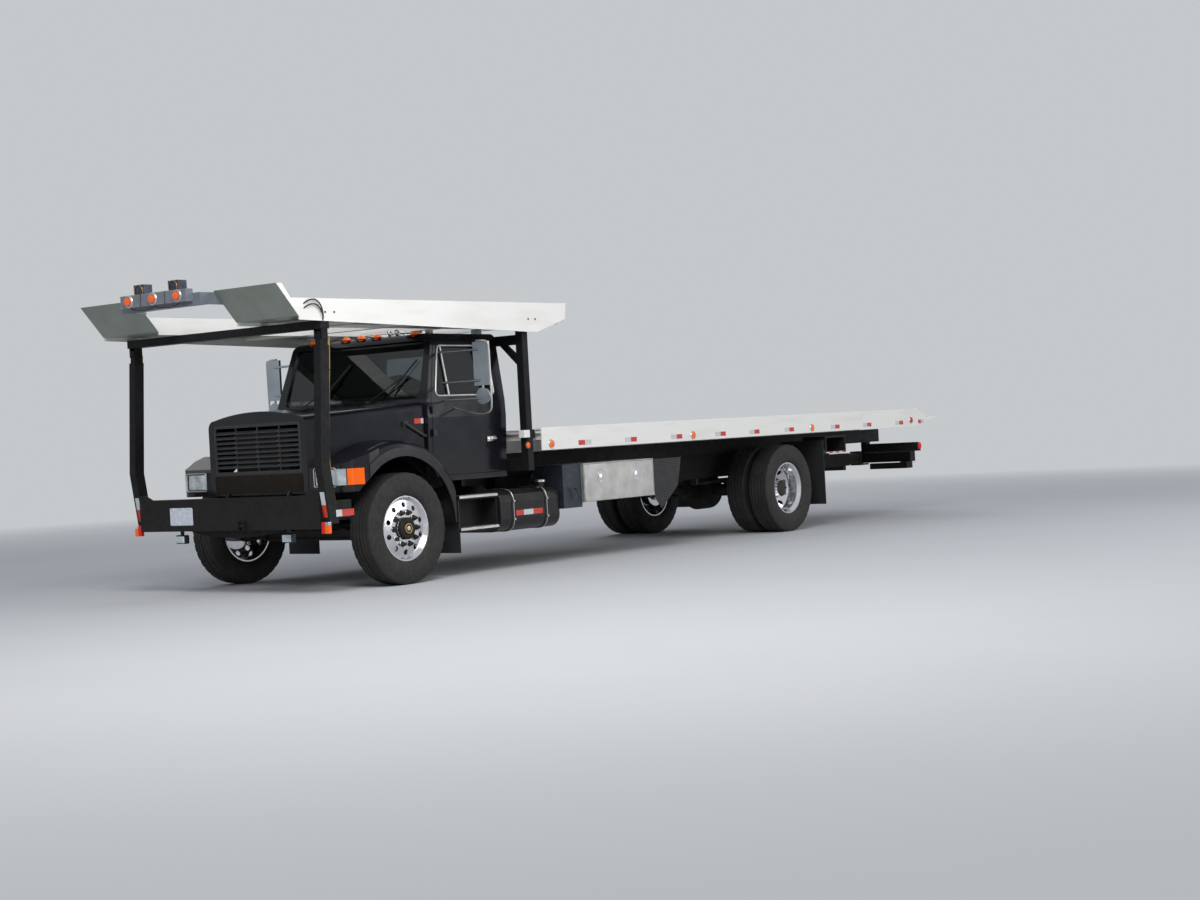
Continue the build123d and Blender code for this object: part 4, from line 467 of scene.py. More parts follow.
def rounded_box(x, y0, y1, z0, z1, radius):
    """Rounded outline of stations across the truck."""
    return [(x, y, z) for y, z in rounded([(y0, z0), (y1, z0), (y1, z1), (y0, z1)], radius)]


def on_circle(count, radius):
    """Offsets of even places round a circle."""
    for i in range(count):
        angle = 2 * math.pi * i / count
        yield radius * math.cos(angle), radius * math.sin(angle)


def door_skin(z):
    """Half width of the cab's side at a height over the belt."""
    return 974 - 86 * (z - 1590) / 625


def cowl_side(x):
    """Half width of the hood's side beside the cowl."""
    return 904 + (x + 395) * -0.267


def post_front(z):
    """Station of the front post's face at a height over the bumper."""
    return 1025 + (z - 600) / 7


# Settings

class TruckColours(bpy.types.PropertyGroup):
    """Colours that a user would change."""

    cab: bpy.props.FloatVectorProperty(name="Cab paint", description="Colour of cab and hood",
                                       subtype="COLOR", default=(0.005, 0.005, 0.008), min=0.0, max=1.0)
    enamel: bpy.props.FloatVectorProperty(name="Enamel", description="Colour of deck and rack rails",
                                          subtype="COLOR", default=(0.82, 0.81, 0.77), min=0.0, max=1.0)
    chassis: bpy.props.FloatVectorProperty(name="Chassis paint", subtype="COLOR",
                                           description="Colour of frame, bumper and posts",
                                           default=(0.009, 0.009, 0.010), min=0.0, max=1.0)


class TruckSizes(bpy.types.PropertyGroup):
    """Sizes that a user would change."""

    hose: bpy.props.FloatProperty(name="Hose", description="Diameter of the hydraulic hoses", unit="LENGTH",
                                  default=0.022, min=0.008, max=0.05)
    tread: bpy.props.FloatProperty(name="Tread depth", description="Depth of the tyre grooves",
                                   unit="LENGTH", default=0.011, min=0.0, max=0.02)


def colours():
    return bpy.context.scene.truck_colours


def sizes():
    return bpy.context.scene.truck_sizes


# Finishes by the name of their material: the slot of a fitting, what fills the tree, and with what

FINISHES = {
    "gloss_black_paint": (None, cab_paint),
    "frame_black": ("chassis_black", chassis_paint),
    "forged_parts": ("cast_metal", satin_paint, (0.03, 0.028, 0.026), 0.8),
    "light_box_paint": (None, satin_paint, (0.02, 0.02, 0.02)),
    "lamp_white": ("white_paint", satin_paint, (0.78, 0.78, 0.76), 0.0),
    "lamp_yellow": (None, satin_paint, (0.72, 0.52, 0.16), 0.0),
    "blank_plate": ("satin_aluminium", satin_paint, (0.62, 0.66, 0.72), 0.0),
    "nose_brown": ("black_plastic", satin_paint, (0.016, 0.011, 0.008), 0.2),
    "clip_grey": ("black_plastic", satin_paint, (0.09, 0.09, 0.085), 0.2),
    # Grey of the painted shade on the downward faces of rails and deck.
    "white_enamel": (None, white_enamel, (0.30, 0.325, 0.30)),
    "polished_aluminium": (None, bare_metal, (0.80, 0.80, 0.82), 0.10, 0.26, 4.0, 0.06),
    "brushed_aluminium": ("satin_aluminium", bare_metal, (0.66, 0.65, 0.62), 0.28, 0.5, 6.0, 0.14),
    "chrome": ("chrome_rod", bare_metal, (0.86, 0.86, 0.88), 0.04, 0.14, 5.0, 0.03),
    "exhaust_pipe_steel": (None, bare_metal, (0.42, 0.36, 0.31), 0.35, 0.6, 5.0, 0.2),
    "brass": ("satin_aluminium", bare_metal, (0.55, 0.36, 0.12), 0.25, 0.45),
    "mirror_case": ("satin_aluminium", bare_metal, (0.42, 0.47, 0.52), 0.25, 0.42),
    "tyre_rubber": ("tyre", tyre_rubber),
    "black_rubber": ("black_plastic", soft_rubber, (0.013, 0.013, 0.014)),
    "grille_plastic": (None, soft_rubber, (0.012, 0.012, 0.013), 0.4),
    "hose_sleeve": ("flap_rubber", soft_rubber, (0.30, 0.19, 0.035), 0.6),
    # Front of the tool box: near-black paint whose blue tint is a painted sky reflection.
    "tool_box_plates": (None, masked, (0.50, 0.49, 0.46), (0.035, 0.045, 0.06), "X", 1.68, 1.69, 0.36, 0.6),
    "lamp_bar": (None, masked, (0.17, 0.19, 0.22), (0.012, 0.016, 0.05), "Z", 2.604, 2.607),
    "tread_plate": (None, tread_plate),
    "lamp_glass": ("lamp_lens", fluted_glass),
    "window_pane": (None, pane),
    "orange_lens": ("amber_lens", lens, (0.85, 0.12, 0.004), 0.35),
    "red_lens": ("amber_lens", lens, (0.75, 0.02, 0.01), 0.12),
    "red_tape": ("white_paint", reflective_tape, (0.60, 0.025, 0.012)),
    "white_tape": (None, reflective_tape, (0.62, 0.64, 0.66)),
    "seat_cloth": ("trim_fabric", woven, (0.03, 0.03, 0.034)),
    "pale_floor": (None, fading_floor),
}
TAPES = ["red_tape", "white_tape"]


def finish(name):
    """Material of this finish, made at its first use."""
    material = bpy.data.materials.get(name)
    if material is None:
        material = bpy.data.materials.new(name)
        material.use_nodes = True
        _, fill, *values = FINISHES[name]
        fill(Tree(material), *values)
    return material


# Operators

class TRUCK_OT_paint_frame(bpy.types.Operator):
    """Give every carried-over frame piece its finish"""

    bl_idname = "truck.paint_frame"
    bl_label = "Frame finishes"

    def execute(self, context):
        groups = {
            "gloss_black_paint": "cab_shell hood_shell fenders door_left door_right fuel_tanks",
            "frame_black": "frame_rails frame_members rack_beam bumper front_posts rear_posts rack_rams "
                           "subframe subframe_members slide_barrel tail_lights tilt_barrels lift_boom "
                           "lift_stinger lift_crossbar cab_steps cab_interior",
            "white_enamel": "rack_tracks deck",
            "polished_aluminium": "front_wheel_left front_wheel_right rear_wheels_left rear_wheels_right",
            "brushed_aluminium": "tool_door_left tool_door_right",
            "chrome": "slide_rod tilt_rods",
            "forged_parts": "axles leaf_springs knuckle_left knuckle_right engine_block drive_shaft",
            "mirror_case": "mirror_left mirror_right",
            "window_pane": "cab_glass door_glass_left door_glass_right",
            "exhaust_pipe_steel": "exhaust",
            "tool_box_plates": "tool_boxes",
            "tread_plate": "mud_flaps",
            "grille_plastic": "grille",
            "lamp_glass": "headlamps",
            "orange_lens": "turn_signals",
            "seat_cloth": "seats",
            "light_box_paint": "light_boxes",
            "lamp_bar": "rack_lamps",
        }
        for name, nodes in groups.items():
            for node in nodes.split():
                materials = NODES[node].data.materials
                materials.clear()
                materials.append(finish(name))
        return {"FINISHED"}


def tread_profile(depth):
    """Half section of a ribbed tyre: radius and distance from its middle, in millimetres."""
    side = [(288, 92), (300, 108), (325, 120), (360, 127), (400, 127.5), (430, 125), (452, 120), (470, 117)]
    shoulder = [(478, 113), (486, 108)]
    top, slope = 489, 1.5
    ribs = []
    for edge, inner in ((84, 76), (46, 38), (8, 0)):
        ribs += [(top, edge + 4), (top, edge), (top - depth, edge - slope)]
        if inner:
            ribs += [(top - depth, inner + slope), (top, inner)]
    return side + shoulder + ribs


def tyre_piece(name, middle_y, station, body):
    """Tyre with ribs, and lugs cut into its shoulders."""
    half = tread_profile(sizes().tread * 1000)
    whole = half + [(r, -a) for r, a in reversed(half)]
    shape = Shape()
    centre = at(station, middle_y, AXLE_Z)
    rings = []
    for i in range(TYRE_STEPS):
        angle = 2 * math.pi * i / TYRE_STEPS
        ring = []
        for radius, along in whole:
            shoulder = 100 < abs(along) < 118 and radius > 465
            if shoulder and i % LUG_STEPS == 0:
                radius -= LUG_DEPTH
            point = Vector((math.cos(angle) * radius, along, math.sin(angle) * radius)) / 1000
            ring.append(shape.bm.verts.new(centre + point))
        rings.append(ring)
    shape.skin(rings, closed=True)
    return shape.make(name, "tyre_rubber", body)


class TRUCK_OT_tyres(bpy.types.Operator):
    """Build the six tyres with their treads"""

    bl_idname = "truck.tyres"
    bl_label = "Tyres"

    def execute(self, context):
        for name, s in SIDES:
            rear = f"wheel_rear_{name}"
            front = tyre_piece(f"tyre_front_{name}", s * FRONT_TYRE_Y, 0, f"wheel_front_{name}")
            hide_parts(f"front_tyre_{name}")
            outer = tyre_piece(f"tyre_rear_outer_{name}", s * REAR_OUTER_Y, -WHEELBASE, rear)
            tyre_piece(f"tyre_rear_inner_{name}", s * REAR_INNER_Y, -WHEELBASE, rear)
            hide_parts(f"rear_tyres_{name}")
        return {"FINISHED"}


def wheel_nuts(name, s, station, face, body):
    """Washers, nuts and stud ends on the wheel's bolt circle."""
    shape = Shape()
    for x, z in on_circle(NUTS, NUT_CIRCLE_R):
        x, z = station + x, AXLE_Z + z
        shape.stud(s, x, face, z, 4, 27, 24)
        shape.paint(0)
        shape.stud(s, x, face + 4, z, 28, 19, 6)
        shape.stud(s, x, face + 32, z, 14, 11, 14)
        shape.paint(1)
    shape.make(name, ["forged_parts", "chrome"], body, 1.5, slot="bright_aluminium")


class TRUCK_OT_wheel_fittings(bpy.types.Operator):
    """Add nuts, hub caps and axle flanges to the wheels"""

    bl_idname = "truck.wheel_fittings"
    bl_label = "Wheel fittings"

    def execute(self, context):
        for name, s in SIDES:
            front, rear = f"wheel_front_{name}", f"wheel_rear_{name}"
            wheel_nuts(f"front_nuts_{name}", s, 0, FRONT_NUT_Y, front)
            self.hub_cap(f"front_hub_cap_{name}", s, front)
            wheel_nuts(f"rear_nuts_{name}", s, -WHEELBASE, REAR_NUT_Y, rear)
            self.axle_flange(f"rear_axle_flange_{name}", s, rear)
        return {"FINISHED"}

    def hub_cap(self, name, s, body):
        """Black sleeve with a brass ring and a satin cap."""
        shape = Shape()
        sleeve = [(97, 84), (97, 112), (88, 121), (58, 124), (52, 118), (0.1, 118)]
        ring = [(34, 118), (36, 130), (45, 130), (49, 118)]
        cap = [(24, 118), (21, 131), (0.1, 133)]
        for index, (profile, sides) in enumerate(((sleeve, 40), (ring, 40), (cap, 30))):
            shape.lathe((0, s * FRONT_TYRE_Y, AXLE_Z), (0, s, 0), profile, sides, closed=profile is ring)
            shape.paint(index)
        shape.make(name, ["frame_black", "brass", "brushed_aluminium"], body, 1.0)

    def axle_flange(self, name, s, body):
        """Flange of the driven axle with its ring of bolts."""
        shape = Shape()
        middle, face, bolts, circle = 930, 1096, 8, 76
        flange = [(0.1, 172), (60, 172), (88, 166), (92, 160), (92, 120), (0.1, 120)]
        shape.lathe((-WHEELBASE, s * middle, AXLE_Z), (0, s, 0), flange, 40, closed=False)
        for x, z in on_circle(bolts, circle):
            shape.stud(s, x - WHEELBASE, face, AXLE_Z + z, 12, 9, 6)
        shape.make(name, "forged_parts", body, 1.0)


class TRUCK_OT_cab_fittings(bpy.types.Operator):
    """Add window frames, handles, roof lamps, horns, wipers and hood latches"""

    bl_idname = "truck.cab_fittings"
    bl_label = "Cab fittings"

    def execute(self, context):
        for name, s in SIDES:
            self.door(name, s)
            self.cowl(name, s)
        self.markers()
        self.horns()
        self.wipers()
        return {"FINISHED"}

    def door(self, name, s):
        """Window frame, vent bar and handle of a door."""
        corners = [(-628, WINDOW_LOW), (-751, WINDOW_HIGH), (-1440, WINDOW_HIGH), (-1440, WINDOW_LOW)]
        ring = [(x, s * (door_skin(z) + 1), z) for x, z in rounded(corners, 45)]
        hose(f"window_frame_{name}", ring, 19, "brushed_aluminium", f"door_{name}", ring=True)
        shape = Shape()
        shape.rod((-822, s * (door_skin(WINDOW_LOW) - 8), WINDOW_LOW - 5),
                  (-795, s * (door_skin(WINDOW_HIGH) - 8), WINDOW_HIGH + 3), 11)
        shape.make(f"vent_bar_{name}", "brushed_aluminium", f"door_{name}")
        shape.side(s, -1425, -1300, 972, 984, 1205, 1255)
        shape.side(s, -1418, -1350, 984, 1002, 1222, 1240)
        shape.stud(s, -1325, 978, 1230, 14, 15)
        shape.make(f"door_handle_{name}", "chrome", f"door_{name}", 4)

    def cowl(self, name, s):
        """Reflector and rubber latch at the back of the hood."""
        shape = Shape()
        for x0, x1, index in ((-395, -462, 0), (-462, -488, 1)):
            corners = ((x0, 1402), (x1, 1402), (x1, 1448), (x0, 1448))
            shape.plate([(x, s * cowl_side(x), z) for x, z in corners], (0, s, 0), 6)
            shape.paint(index)
        shape.make(f"cowl_reflector_{name}", TAPES, "hood", 1, slot="amber_lens")
        shape.rod((-300, s * 893, 1405), (-490, s * 944, 1285), 15)
        shape.stud(s, -482, 915, 1290, 50, 11)
        shape.ball((-296, s * 897, 1408), 21)
        shape.side(s, -330, -270, 876, 893, 1380, 1430)
        shape.make(f"hood_latch_{name}", "black_rubber", "hood", 2)

    def markers(self):
        """Five lamps over the windscreen."""
        shape, bases = Shape(), Shape()
        for y, z in ((-660, 2216), (-215, 2224), (-15, 2224), (185, 2224), (660, 2216)):
            bases.box(-777, -693, y - 52, y + 52, z - 8, z + 5)
            shape.ball((-735, y, z + 4), 40, (0.86, 1.1, 0.82))
        shape.make("roof_markers", "orange_lens", "chassis")
        bases.make("roof_marker_bases", "black_rubber", "chassis", 3)

    def horns(self):
        """Twin horns with their air line, and the work lamp at the back of the roof."""
        shape = Shape()
        shape.rod((-830, 470, 2252), (-830, 660, 2248), 13)
        shape.paint(0)
        horn = [(10, 0), (13, 60), (34, 108), (37, 112), (30, 112), (6, 60)]
        for y in (290, 385):
            shape.lathe((-900, y, 2256), (1, 0, 0), horn, 28)
            shape.rod((-880, y, 2230), (-880, y, 2256), 9)
        shape.paint(1)
        shape.box(-855, -805, 722, 778, 2218, 2262)
        shape.paint(2)
        shape.make("roof_horns", ["lamp_white", "chrome", "lamp_yellow"], "chassis", 2, slot="chrome_rod")
        shape.box(-1455, -1385, 770, 850, 2212, 2262)
        shape.make("roof_work_lamp", "mirror_case", "chassis", 8)

    def wipers(self):
        shape = Shape()
        for y in (-600, 250):
            shape.rod((-485, y, 1612), (-563, y + 420, 1850), 6)
            shape.rod((-515, y + 250, 1690), (-628, y + 520, 1985), 7)
            shape.rod((-500, y, 1590), (-478, y, 1628), 17)
        shape.make("wipers", "black_rubber", "chassis")


class TRUCK_OT_mirrors(bpy.types.Operator):
    """Add mirror glasses and their outer tube loops"""

    bl_idname = "truck.mirrors"
    bl_label = "Mirrors"

    def execute(self, context):
        shape = Shape()
        for name, s in SIDES:
            glass = rounded_box(-860, s * 1268, s * 1432, 1724, 2101, 16)
            shape.plate(glass, (-1, 0, 0), 3)
            dome = [(70, 0), (70, 2), (50, 8), (24, 12), (0.5, 13)]
            shape.lathe((-860, s * 1350, 1620), (-1, 0, 0), dome, 36, closed=False)
            shape.make(f"mirror_glass_{name}", "chrome", f"door_{name}")
            route = ((-842, 1300, 2118), (-842, 1440, 2122), (-846, 1443, 2040), (-848, 1442, 1800),
                     (-852, 1442, 1560), (-858, 1425, 1480), (-862, 1330, 1452), (-866, 1180, 1475),
                     (-870, 1050, 1510), (-874, 962, 1530))
            loop = [(x, s * y, z) for x, y, z in route]
            hose(f"mirror_loop_{name}", loop, 19, "brushed_aluminium", f"door_{name}")
        return {"FINISHED"}


class TRUCK_OT_front_fittings(bpy.types.Operator):
    """Add lamp frames, corner lenses, fog lamps, the blank plate and the tow pin"""

    bl_idname = "truck.front_fittings"
    bl_label = "Front fittings"

    def execute(self, context):
        shape = Shape()
        for name, s in SIDES:
            frame_line = rounded_box(667, s * 690, s * 950, 895, 1055, 16)
            hose(f"headlamp_frame_{name}", frame_line, 12, "brushed_aluminium", "hood", ring=True)
            outer = [(670, 958), (661, 984), (644, 1009), (620, 1030)]
            inner = [(616, 1022), (638, 1002), (655, 978), (664, 955)]
            shape.plate([(x, s * y, 905) for x, y in outer + inner], (0, 0, 1), 140)
            shape.make(f"corner_lens_{name}", "lamp_glass", "hood", 1.5)
            self.fog_lamp(name, s)
            self.post_lamp(name, s)
        shape.plate(rounded_box(670, -560, 560, 862, 1022, 20), (1, 0, 0), 4)
        shape.make("nose_panel", "nose_brown", "hood", 1)
        self.plate_holder()
        self.tow_pin()
        self.clips()
        return {"FINISHED"}

    def fog_lamp(self, name, s):
        shape = Shape()
        shape.side(s, 960, 1012, 618, 742, 446, 524)
        shape.side(s, 975, 995, 660, 700, 524, 562)
        shape.make(f"fog_case_{name}", "black_rubber", "chassis", 8)
        shape.side(s, 1011, 1019, 626, 734, 454, 516)
        shape.make(f"fog_lens_{name}", "lamp_glass", "chassis", 6)

    def post_lamp(self, name, s):
        """Red, amber and clear lamp at the foot of a post."""
        shape = Shape()
        lenses = ((1150, 1192, 522, 618), (1192, 1236, 522, 588), (1192, 1236, 588, 618))
        for index, limits in enumerate(lenses):
            shape.side(s, 1026, 1062, *limits)
            shape.paint(index)
        shape.make(f"post_lamp_{name}", ["red_lens", "orange_lens", "lamp_glass"], "chassis", 4)

    def plate_holder(self):
        """Blank number plate with its screws and rim."""
        shape = Shape()
        shape.plate(rounded_box(1065, -735, -435, 612, 768, 14), (1, 0, 0), 3)
        shape.paint(0)
        for y in (-690, -480):
            shape.rod((1067, y, 752), (1073, y, 752), 8, 12)
        shape.paint(1)
        shape.make("blank_plate", ["blank_plate", "chrome"], "chassis", 1)
        rim = rounded_box(1069, -728, -442, 619, 761, 12)
        hose("plate_rim", rim, 4, "blank_plate", "chassis", ring=True)

    def tow_pin(self):
        shape = Shape()
        for y in (170, 232):
            shape.box(1065, 1105, y, y + 10, 560, 640)
        shape.rod((1090, 160, 600), (1090, 252, 600), 9)
        shape.ball((1090, 160, 600), 14)
        shape.make("tow_pin", "frame_black", "chassis", 3)

    def clips(self):
        """Clips of the grille's bars, in three rows."""
        shape = Shape()
        bars, foot, pitch = 8, 1058, 389 / 9
        for y in (-277, 0, 277):
            for i in range(1, bars + 1):
                z = foot + pitch * i
                shape.box(664, 674, y - 9, y + 9, z - 7, z + 7)
        shape.make("grille_clips", "clip_grey", "hood", 2)


def tape(shape, s, x0, x1, face, z0, z1, index):
    """Strip on a side face, red at index 0 and white at 1."""
    sunk, proud = 0.4, 1.4
    shape.side(s, x0, x1, face - sunk, face + proud, z0, z1)
    shape.paint(index)


class TRUCK_OT_tapes(bpy.types.Operator):
    """Add the red and white reflective tapes"""

    bl_idname = "truck.tapes"
    bl_label = "Reflective tapes"

    def execute(self, context):
        deck, chassis, lift = Shape(), Shape(), Shape()
        # Where each pair of strips meets, and which way from there the red one runs
        pairs = ((-2426, 1), (-3175, -1), (-3972, -1), (-4785, -1), (-5451, -1), (-6172, -1), (-7183, -1),
                 (-7934, -1), (-8726, -1), (-9290, 1))
        for _, s in SIDES:
            for x, way in pairs:
                run = (100 if x > -9000 else 75) * way
                tape(deck, s, x, x + run, DECK_SIDE, 1122, 1168, 0)
                tape(deck, s, x, x - run, DECK_SIDE, 1122, 1168, 1)
            for z0, z1, index in ((655, 760, 0), (760, 868, 1)):
                corners = ((1156, z0), (1206, z0), (1206, z1), (1156, z1))
                chassis.plate([(post_front(z), s * y, z) for y, z in corners], (1, 0, 0), 1.5)
                chassis.paint(index)
            tape(chassis, s, 745, 888, 1225, 655, 712, 0)
            tape(chassis, s, 888, 955, 1225, 655, 712, 1)
            for i, x in enumerate((-1451, -1591, -1731)):
                tape(chassis, s, x - 140, x, 1130, 500, 550, i % 2)
            strips, run = 6, 74
            for i in range(strips):
                x = -7035 - i * run
                tape(chassis, s, x - run, x, BOX_SIDE, 842, 857, (i + 1) % 2)
            lift.side(s, -10016, -9884, 700, 761.4, 618, 622)
        deck.make("deck_tapes", TAPES, "deck")
        chassis.make("side_tapes", TAPES, "chassis")
        lift.make("lift_tapes", TAPES, "lift_crossbar")
        return {"FINISHED"}


def side_lamps(names, s, places, radius, finishes, body):
    """Round marker lamps of one side and their rims, as two pieces."""
    shape, rims = Shape(), Shape()
    dome = [(radius - 6, 0), (radius - 6, 8), (radius - 16, 13), (0.5, 15)]
    rim = [(radius - 8, 0), (radius - 8, 8), (radius, 8), (radius + 4, 0)]
    for x, y, z in places:
        shape.lathe((x, s * y, z), (0, s, 0), dome, 28, closed=False)
        rims.lathe((x, s * y, z), (0, s, 0), rim, 28)
    shape.make(names[0], finishes[0], body)
    rims.make(names[1], finishes[1], body)


class TRUCK_OT_deck_fittings(bpy.types.Operator):
    """Add side lamps and the headboard blocks of the deck"""

    bl_idname = "truck.deck_fittings"
    bl_label = "Deck fittings"

    def execute(self, context):
        shape = Shape()
        for name, s in SIDES:
            ambers = [(x, DECK_SIDE, 1150) for x in (-1910, -4272, -6664)]
            side_lamps((f"deck_amber_{name}", f"deck_rims_{name}"), s, ambers, 40,
                       ("orange_lens", "brushed_aluminium"), "deck")
            side_lamps((f"deck_red_{name}", f"deck_rear_rim_{name}"), s, [(-9028, DECK_SIDE, 1168)], 40,
                       ("red_lens", "brushed_aluminium"), "deck")
            shape.side(s, -1652, -1568, 1136, 1206, 1222, 1294)
            shape.make(f"headboard_block_{name}", "lamp_white", "chassis", 4)
            side_lamps((f"post_marker_{name}", f"post_marker_rim_{name}"), s, [(-1610, 1205, 1150)], 34,
                       ("orange_lens", "black_rubber"), "chassis")
        return {"FINISHED"}


class TRUCK_OT_rack_fittings(bpy.types.Operator):
    """Add lenses, guards, wires, bolts and hoses of the lamp bar and the rack"""

    bl_idname = "truck.rack_fittings"
    bl_label = "Rack fittings"

    def execute(self, context):
        self.lamp_bar()
        for i, y in enumerate((-220, 220)):
            loop = [(1702, y - 50, 2606), (1704, y - 58, 2640), (1704, y - 30, 2688), (1704, y + 30, 2688),
                    (1704, y + 58, 2640), (1702, y + 50, 2606)]
            hose(f"lamp_guard_{i}", loop, 7, "brass", "rack")
        for i, (a, b) in enumerate(((-310, 0), (0, 310))):
            wire = [(1715, a, 2502), (1716, a, 2486), (1716, (a + b) / 2, 2462), (1716, b, 2486),
                    (1715, b, 2502)]
            hose(f"lamp_wire_{i}", wire, 7, "black_rubber", "rack")
        bolts = Shape()
        for _, s in SIDES:
            for x, z in ((980, 2355), (875, 2356), (-1661, 2330), (-1764, 2331)):
                bolts.stud(s, x, DECK_SIDE, z, 5, 9, 6)
        bolts.make("rack_bolts", "forged_parts", "rack")
        for name, s in SIDES:
            self.hoses(name, s)
        return {"FINISHED"}

    def lamp_bar(self):
        """Three round lenses in rims, between trim strips, with a seam between the boxes."""
        lenses, rims, seams = Shape(), Shape(), Shape()
        dome = [(43, 0), (43, 14), (34, 21), (16, 25), (0.5, 26)]
        for y in (-310, 0, 310):
            lenses.lathe((1740, y, 2552.5), (1, 0, 0), dome, 36, closed=False)
            rims.lathe((1739, y, 2552.5), (1, 0, 0), [(44, 0), (44, 12), (50, 12), (56, 0)], 36)
            for z in (2504, 2598):
                rims.box(1736, 1742, y - 120, y + 120, z, z + 3)
        lenses.make("rack_amber", "orange_lens", "rack")
        rims.make("rack_lamp_rims", "brushed_aluminium", "rack", 1)
        for y in (-155, 155):
            seams.box(1738, 1742, y - 4, y + 4, 2500, 2605)
        seams.make("lamp_bar_seams", "black_rubber", "rack", 1)

    def hoses(self, name, s):
        """Two hoses over the rack's rail and one down the post, with ties."""
        size = sizes().hose * 1000
        for i, lift in enumerate((0, 38)):
            route = [(1285, s * 1130, 2345), (1250, s * 1225, 2350 + lift), (1190, s * 1266, 2410 + lift),
                     (1100, s * 1268, 2425 + lift), (1030, s * 1266, 2370 + lift), (1008, s * 1262, 2290),
                     (1000, s * 1200, 2235)]
            hose(f"rack_hose_{name}_{i}", route, size * 0.55, "black_rubber", "rack", slot="flap_rubber")
        down = [(905, s * 1195, 2150), (910, s * 1198, 2000), (938, s * 1196, 1700), (962, s * 1198, 1400),
                (980, s * 1196, 1120), (966, s * 1197, 960), (938, s * 1196, 800), (914, s * 1190, 650)]
        hose(f"post_hose_{name}", down, size, "hose_sleeve", "chassis")
        ties = Shape()
        band = [(size / 2, -6), (size / 2 + 4, -6), (size / 2 + 4, 6), (size / 2, 6)]
        for x, z in ((925, 1880), (948, 1560), (972, 1260), (958, 900)):
            ties.lathe((x, s * 1197, z), (0, 0, 1), band, 20)
            ties.side(s, x + 4, x + 40, 1190, 1204, z - 5, z + 5)
        ties.make(f"hose_ties_{name}", "black_rubber", "chassis")


class TRUCK_OT_side_fittings(bpy.types.Operator):
    """Add tank caps and bands, box latches, rivets, step teeth and tail lamps"""

    bl_idname = "truck.side_fittings"
    bl_label = "Side fittings"

    def execute(self, context):
        for name, s in SIDES:
            self.tank(name, s)
            self.tool_box(name, s)
            self.steps(name, s)
            self.tail(name, s)
        return {"FINISHED"}

    def tank(self, name, s):
        straps = (-1446, -1936)
        shape = Shape()
        cap = [(0.5, 30), (40, 30), (52, 24), (54, 4), (48, 0), (0.5, 0)]
        shape.lathe((-2036, s * 980, 785), (0, 0, 1), cap, 36, closed=False)
        for x in straps:
            for z in (470, 640):
                shape.stud(s, x, 1134, z, 14, 11, 6)
        shape.make(f"tank_fittings_{name}", "brushed_aluminium", "chassis", 1.5)
        for i, x in enumerate(straps):
            band = rounded_box(x, s * 700, s * 1133, 357, 753, 124)
            hose(f"tank_band_{name}_{i}", band, 9, "brushed_aluminium", "chassis", ring=True)

    def tool_box(self, name, s):
        """Latches and rivets on the box door, and the hook beside it."""
        shape = Shape()
        z = 790
        for x in (-2716, -3299):
            corners = [(x - 42, z - 60), (x + 42, z - 60), (x + 42, z + 60), (x - 42, z + 60)]
            shape.plate([(a, s * BOX_SIDE, b) for a, b in rounded(corners, 30)], (0, s, 0), 4)
            shape.ball((x, s * (BOX_SIDE + 3), z), 30, (0.95, 0.35, 1.45))
            shape.stud(s, x, BOX_SIDE, z - 38, 13, 11)
        shape.make(f"box_latches_{name}", "chrome", f"tool_door_{name}", 1.5)
        rivets, pitch = 8, 154
        spots = [(-2480 - i * pitch, 612) for i in range(rivets)]
        spots += [(x, z) for x in (-2472, -3568) for z in (700, 800, 900)]
        for x, z in spots:
            shape.ball((x, s * BOX_SIDE, z), 7, (1, 0.5, 1), 6)
        shape.make(f"box_rivets_{name}", "brushed_aluminium", f"tool_door_{name}")
        hook_y = BOX_SIDE + 22
        shape.stud(s, -2290, BOX_SIDE, 700, 22, 9)
        shape.rod((-2290, s * hook_y, 705), (-2330, s * hook_y, 620), 8)
        shape.rod((-2330, s * hook_y, 620), (-2350, s * hook_y, 640), 8)
        shape.make(f"side_hook_{name}", "black_rubber", "chassis")

    def steps(self, name, s):
        """Teeth and edge strips of the two steps."""
        shape = Shape()
        teeth, pitch = 26, 20
        for z in (437, 727):
            for i in range(teeth):
                x = -1225 + i * pitch
                shape.side(s, x, x + 9, 940, 1118, z - 3, z + 3)
        for z in (400, 690):
            shape.side(s, -1235, -705, 1120, 1124, z + 14, z + 35)
        shape.make(f"step_teeth_{name}", "brushed_aluminium", "chassis", 1)

    def tail(self, name, s):
        """Lenses of the tail lamp beam, and the lamp of the box behind the rear wheels."""
        shape = Shape()
        beside = [(42, 0), (42, 10), (30, 16), (0.5, 19)]
        behind = [(38, 0), (38, 4), (26, 10), (0.5, 12)]
        shape.lathe((-9305, s * 1200, 842), (0, s, 0), beside, 32, closed=False)
        shape.lathe((-9375, s * 1120, 835), (-1, 0, 0), behind, 32, closed=False)
        shape.paint(0)
        shape.side(s, -9330, -9280, 1200, 1208, 876, 889)
        shape.paint(1)
        shape.make(f"tail_lens_{name}", ["red_lens", "lamp_glass"], "subframe")
        side_lamps((f"box_lens_{name}", f"box_lens_rim_{name}"), s, [(-7240, 921, 935)], 30,
                   ("red_lens", "black_rubber"), "chassis")


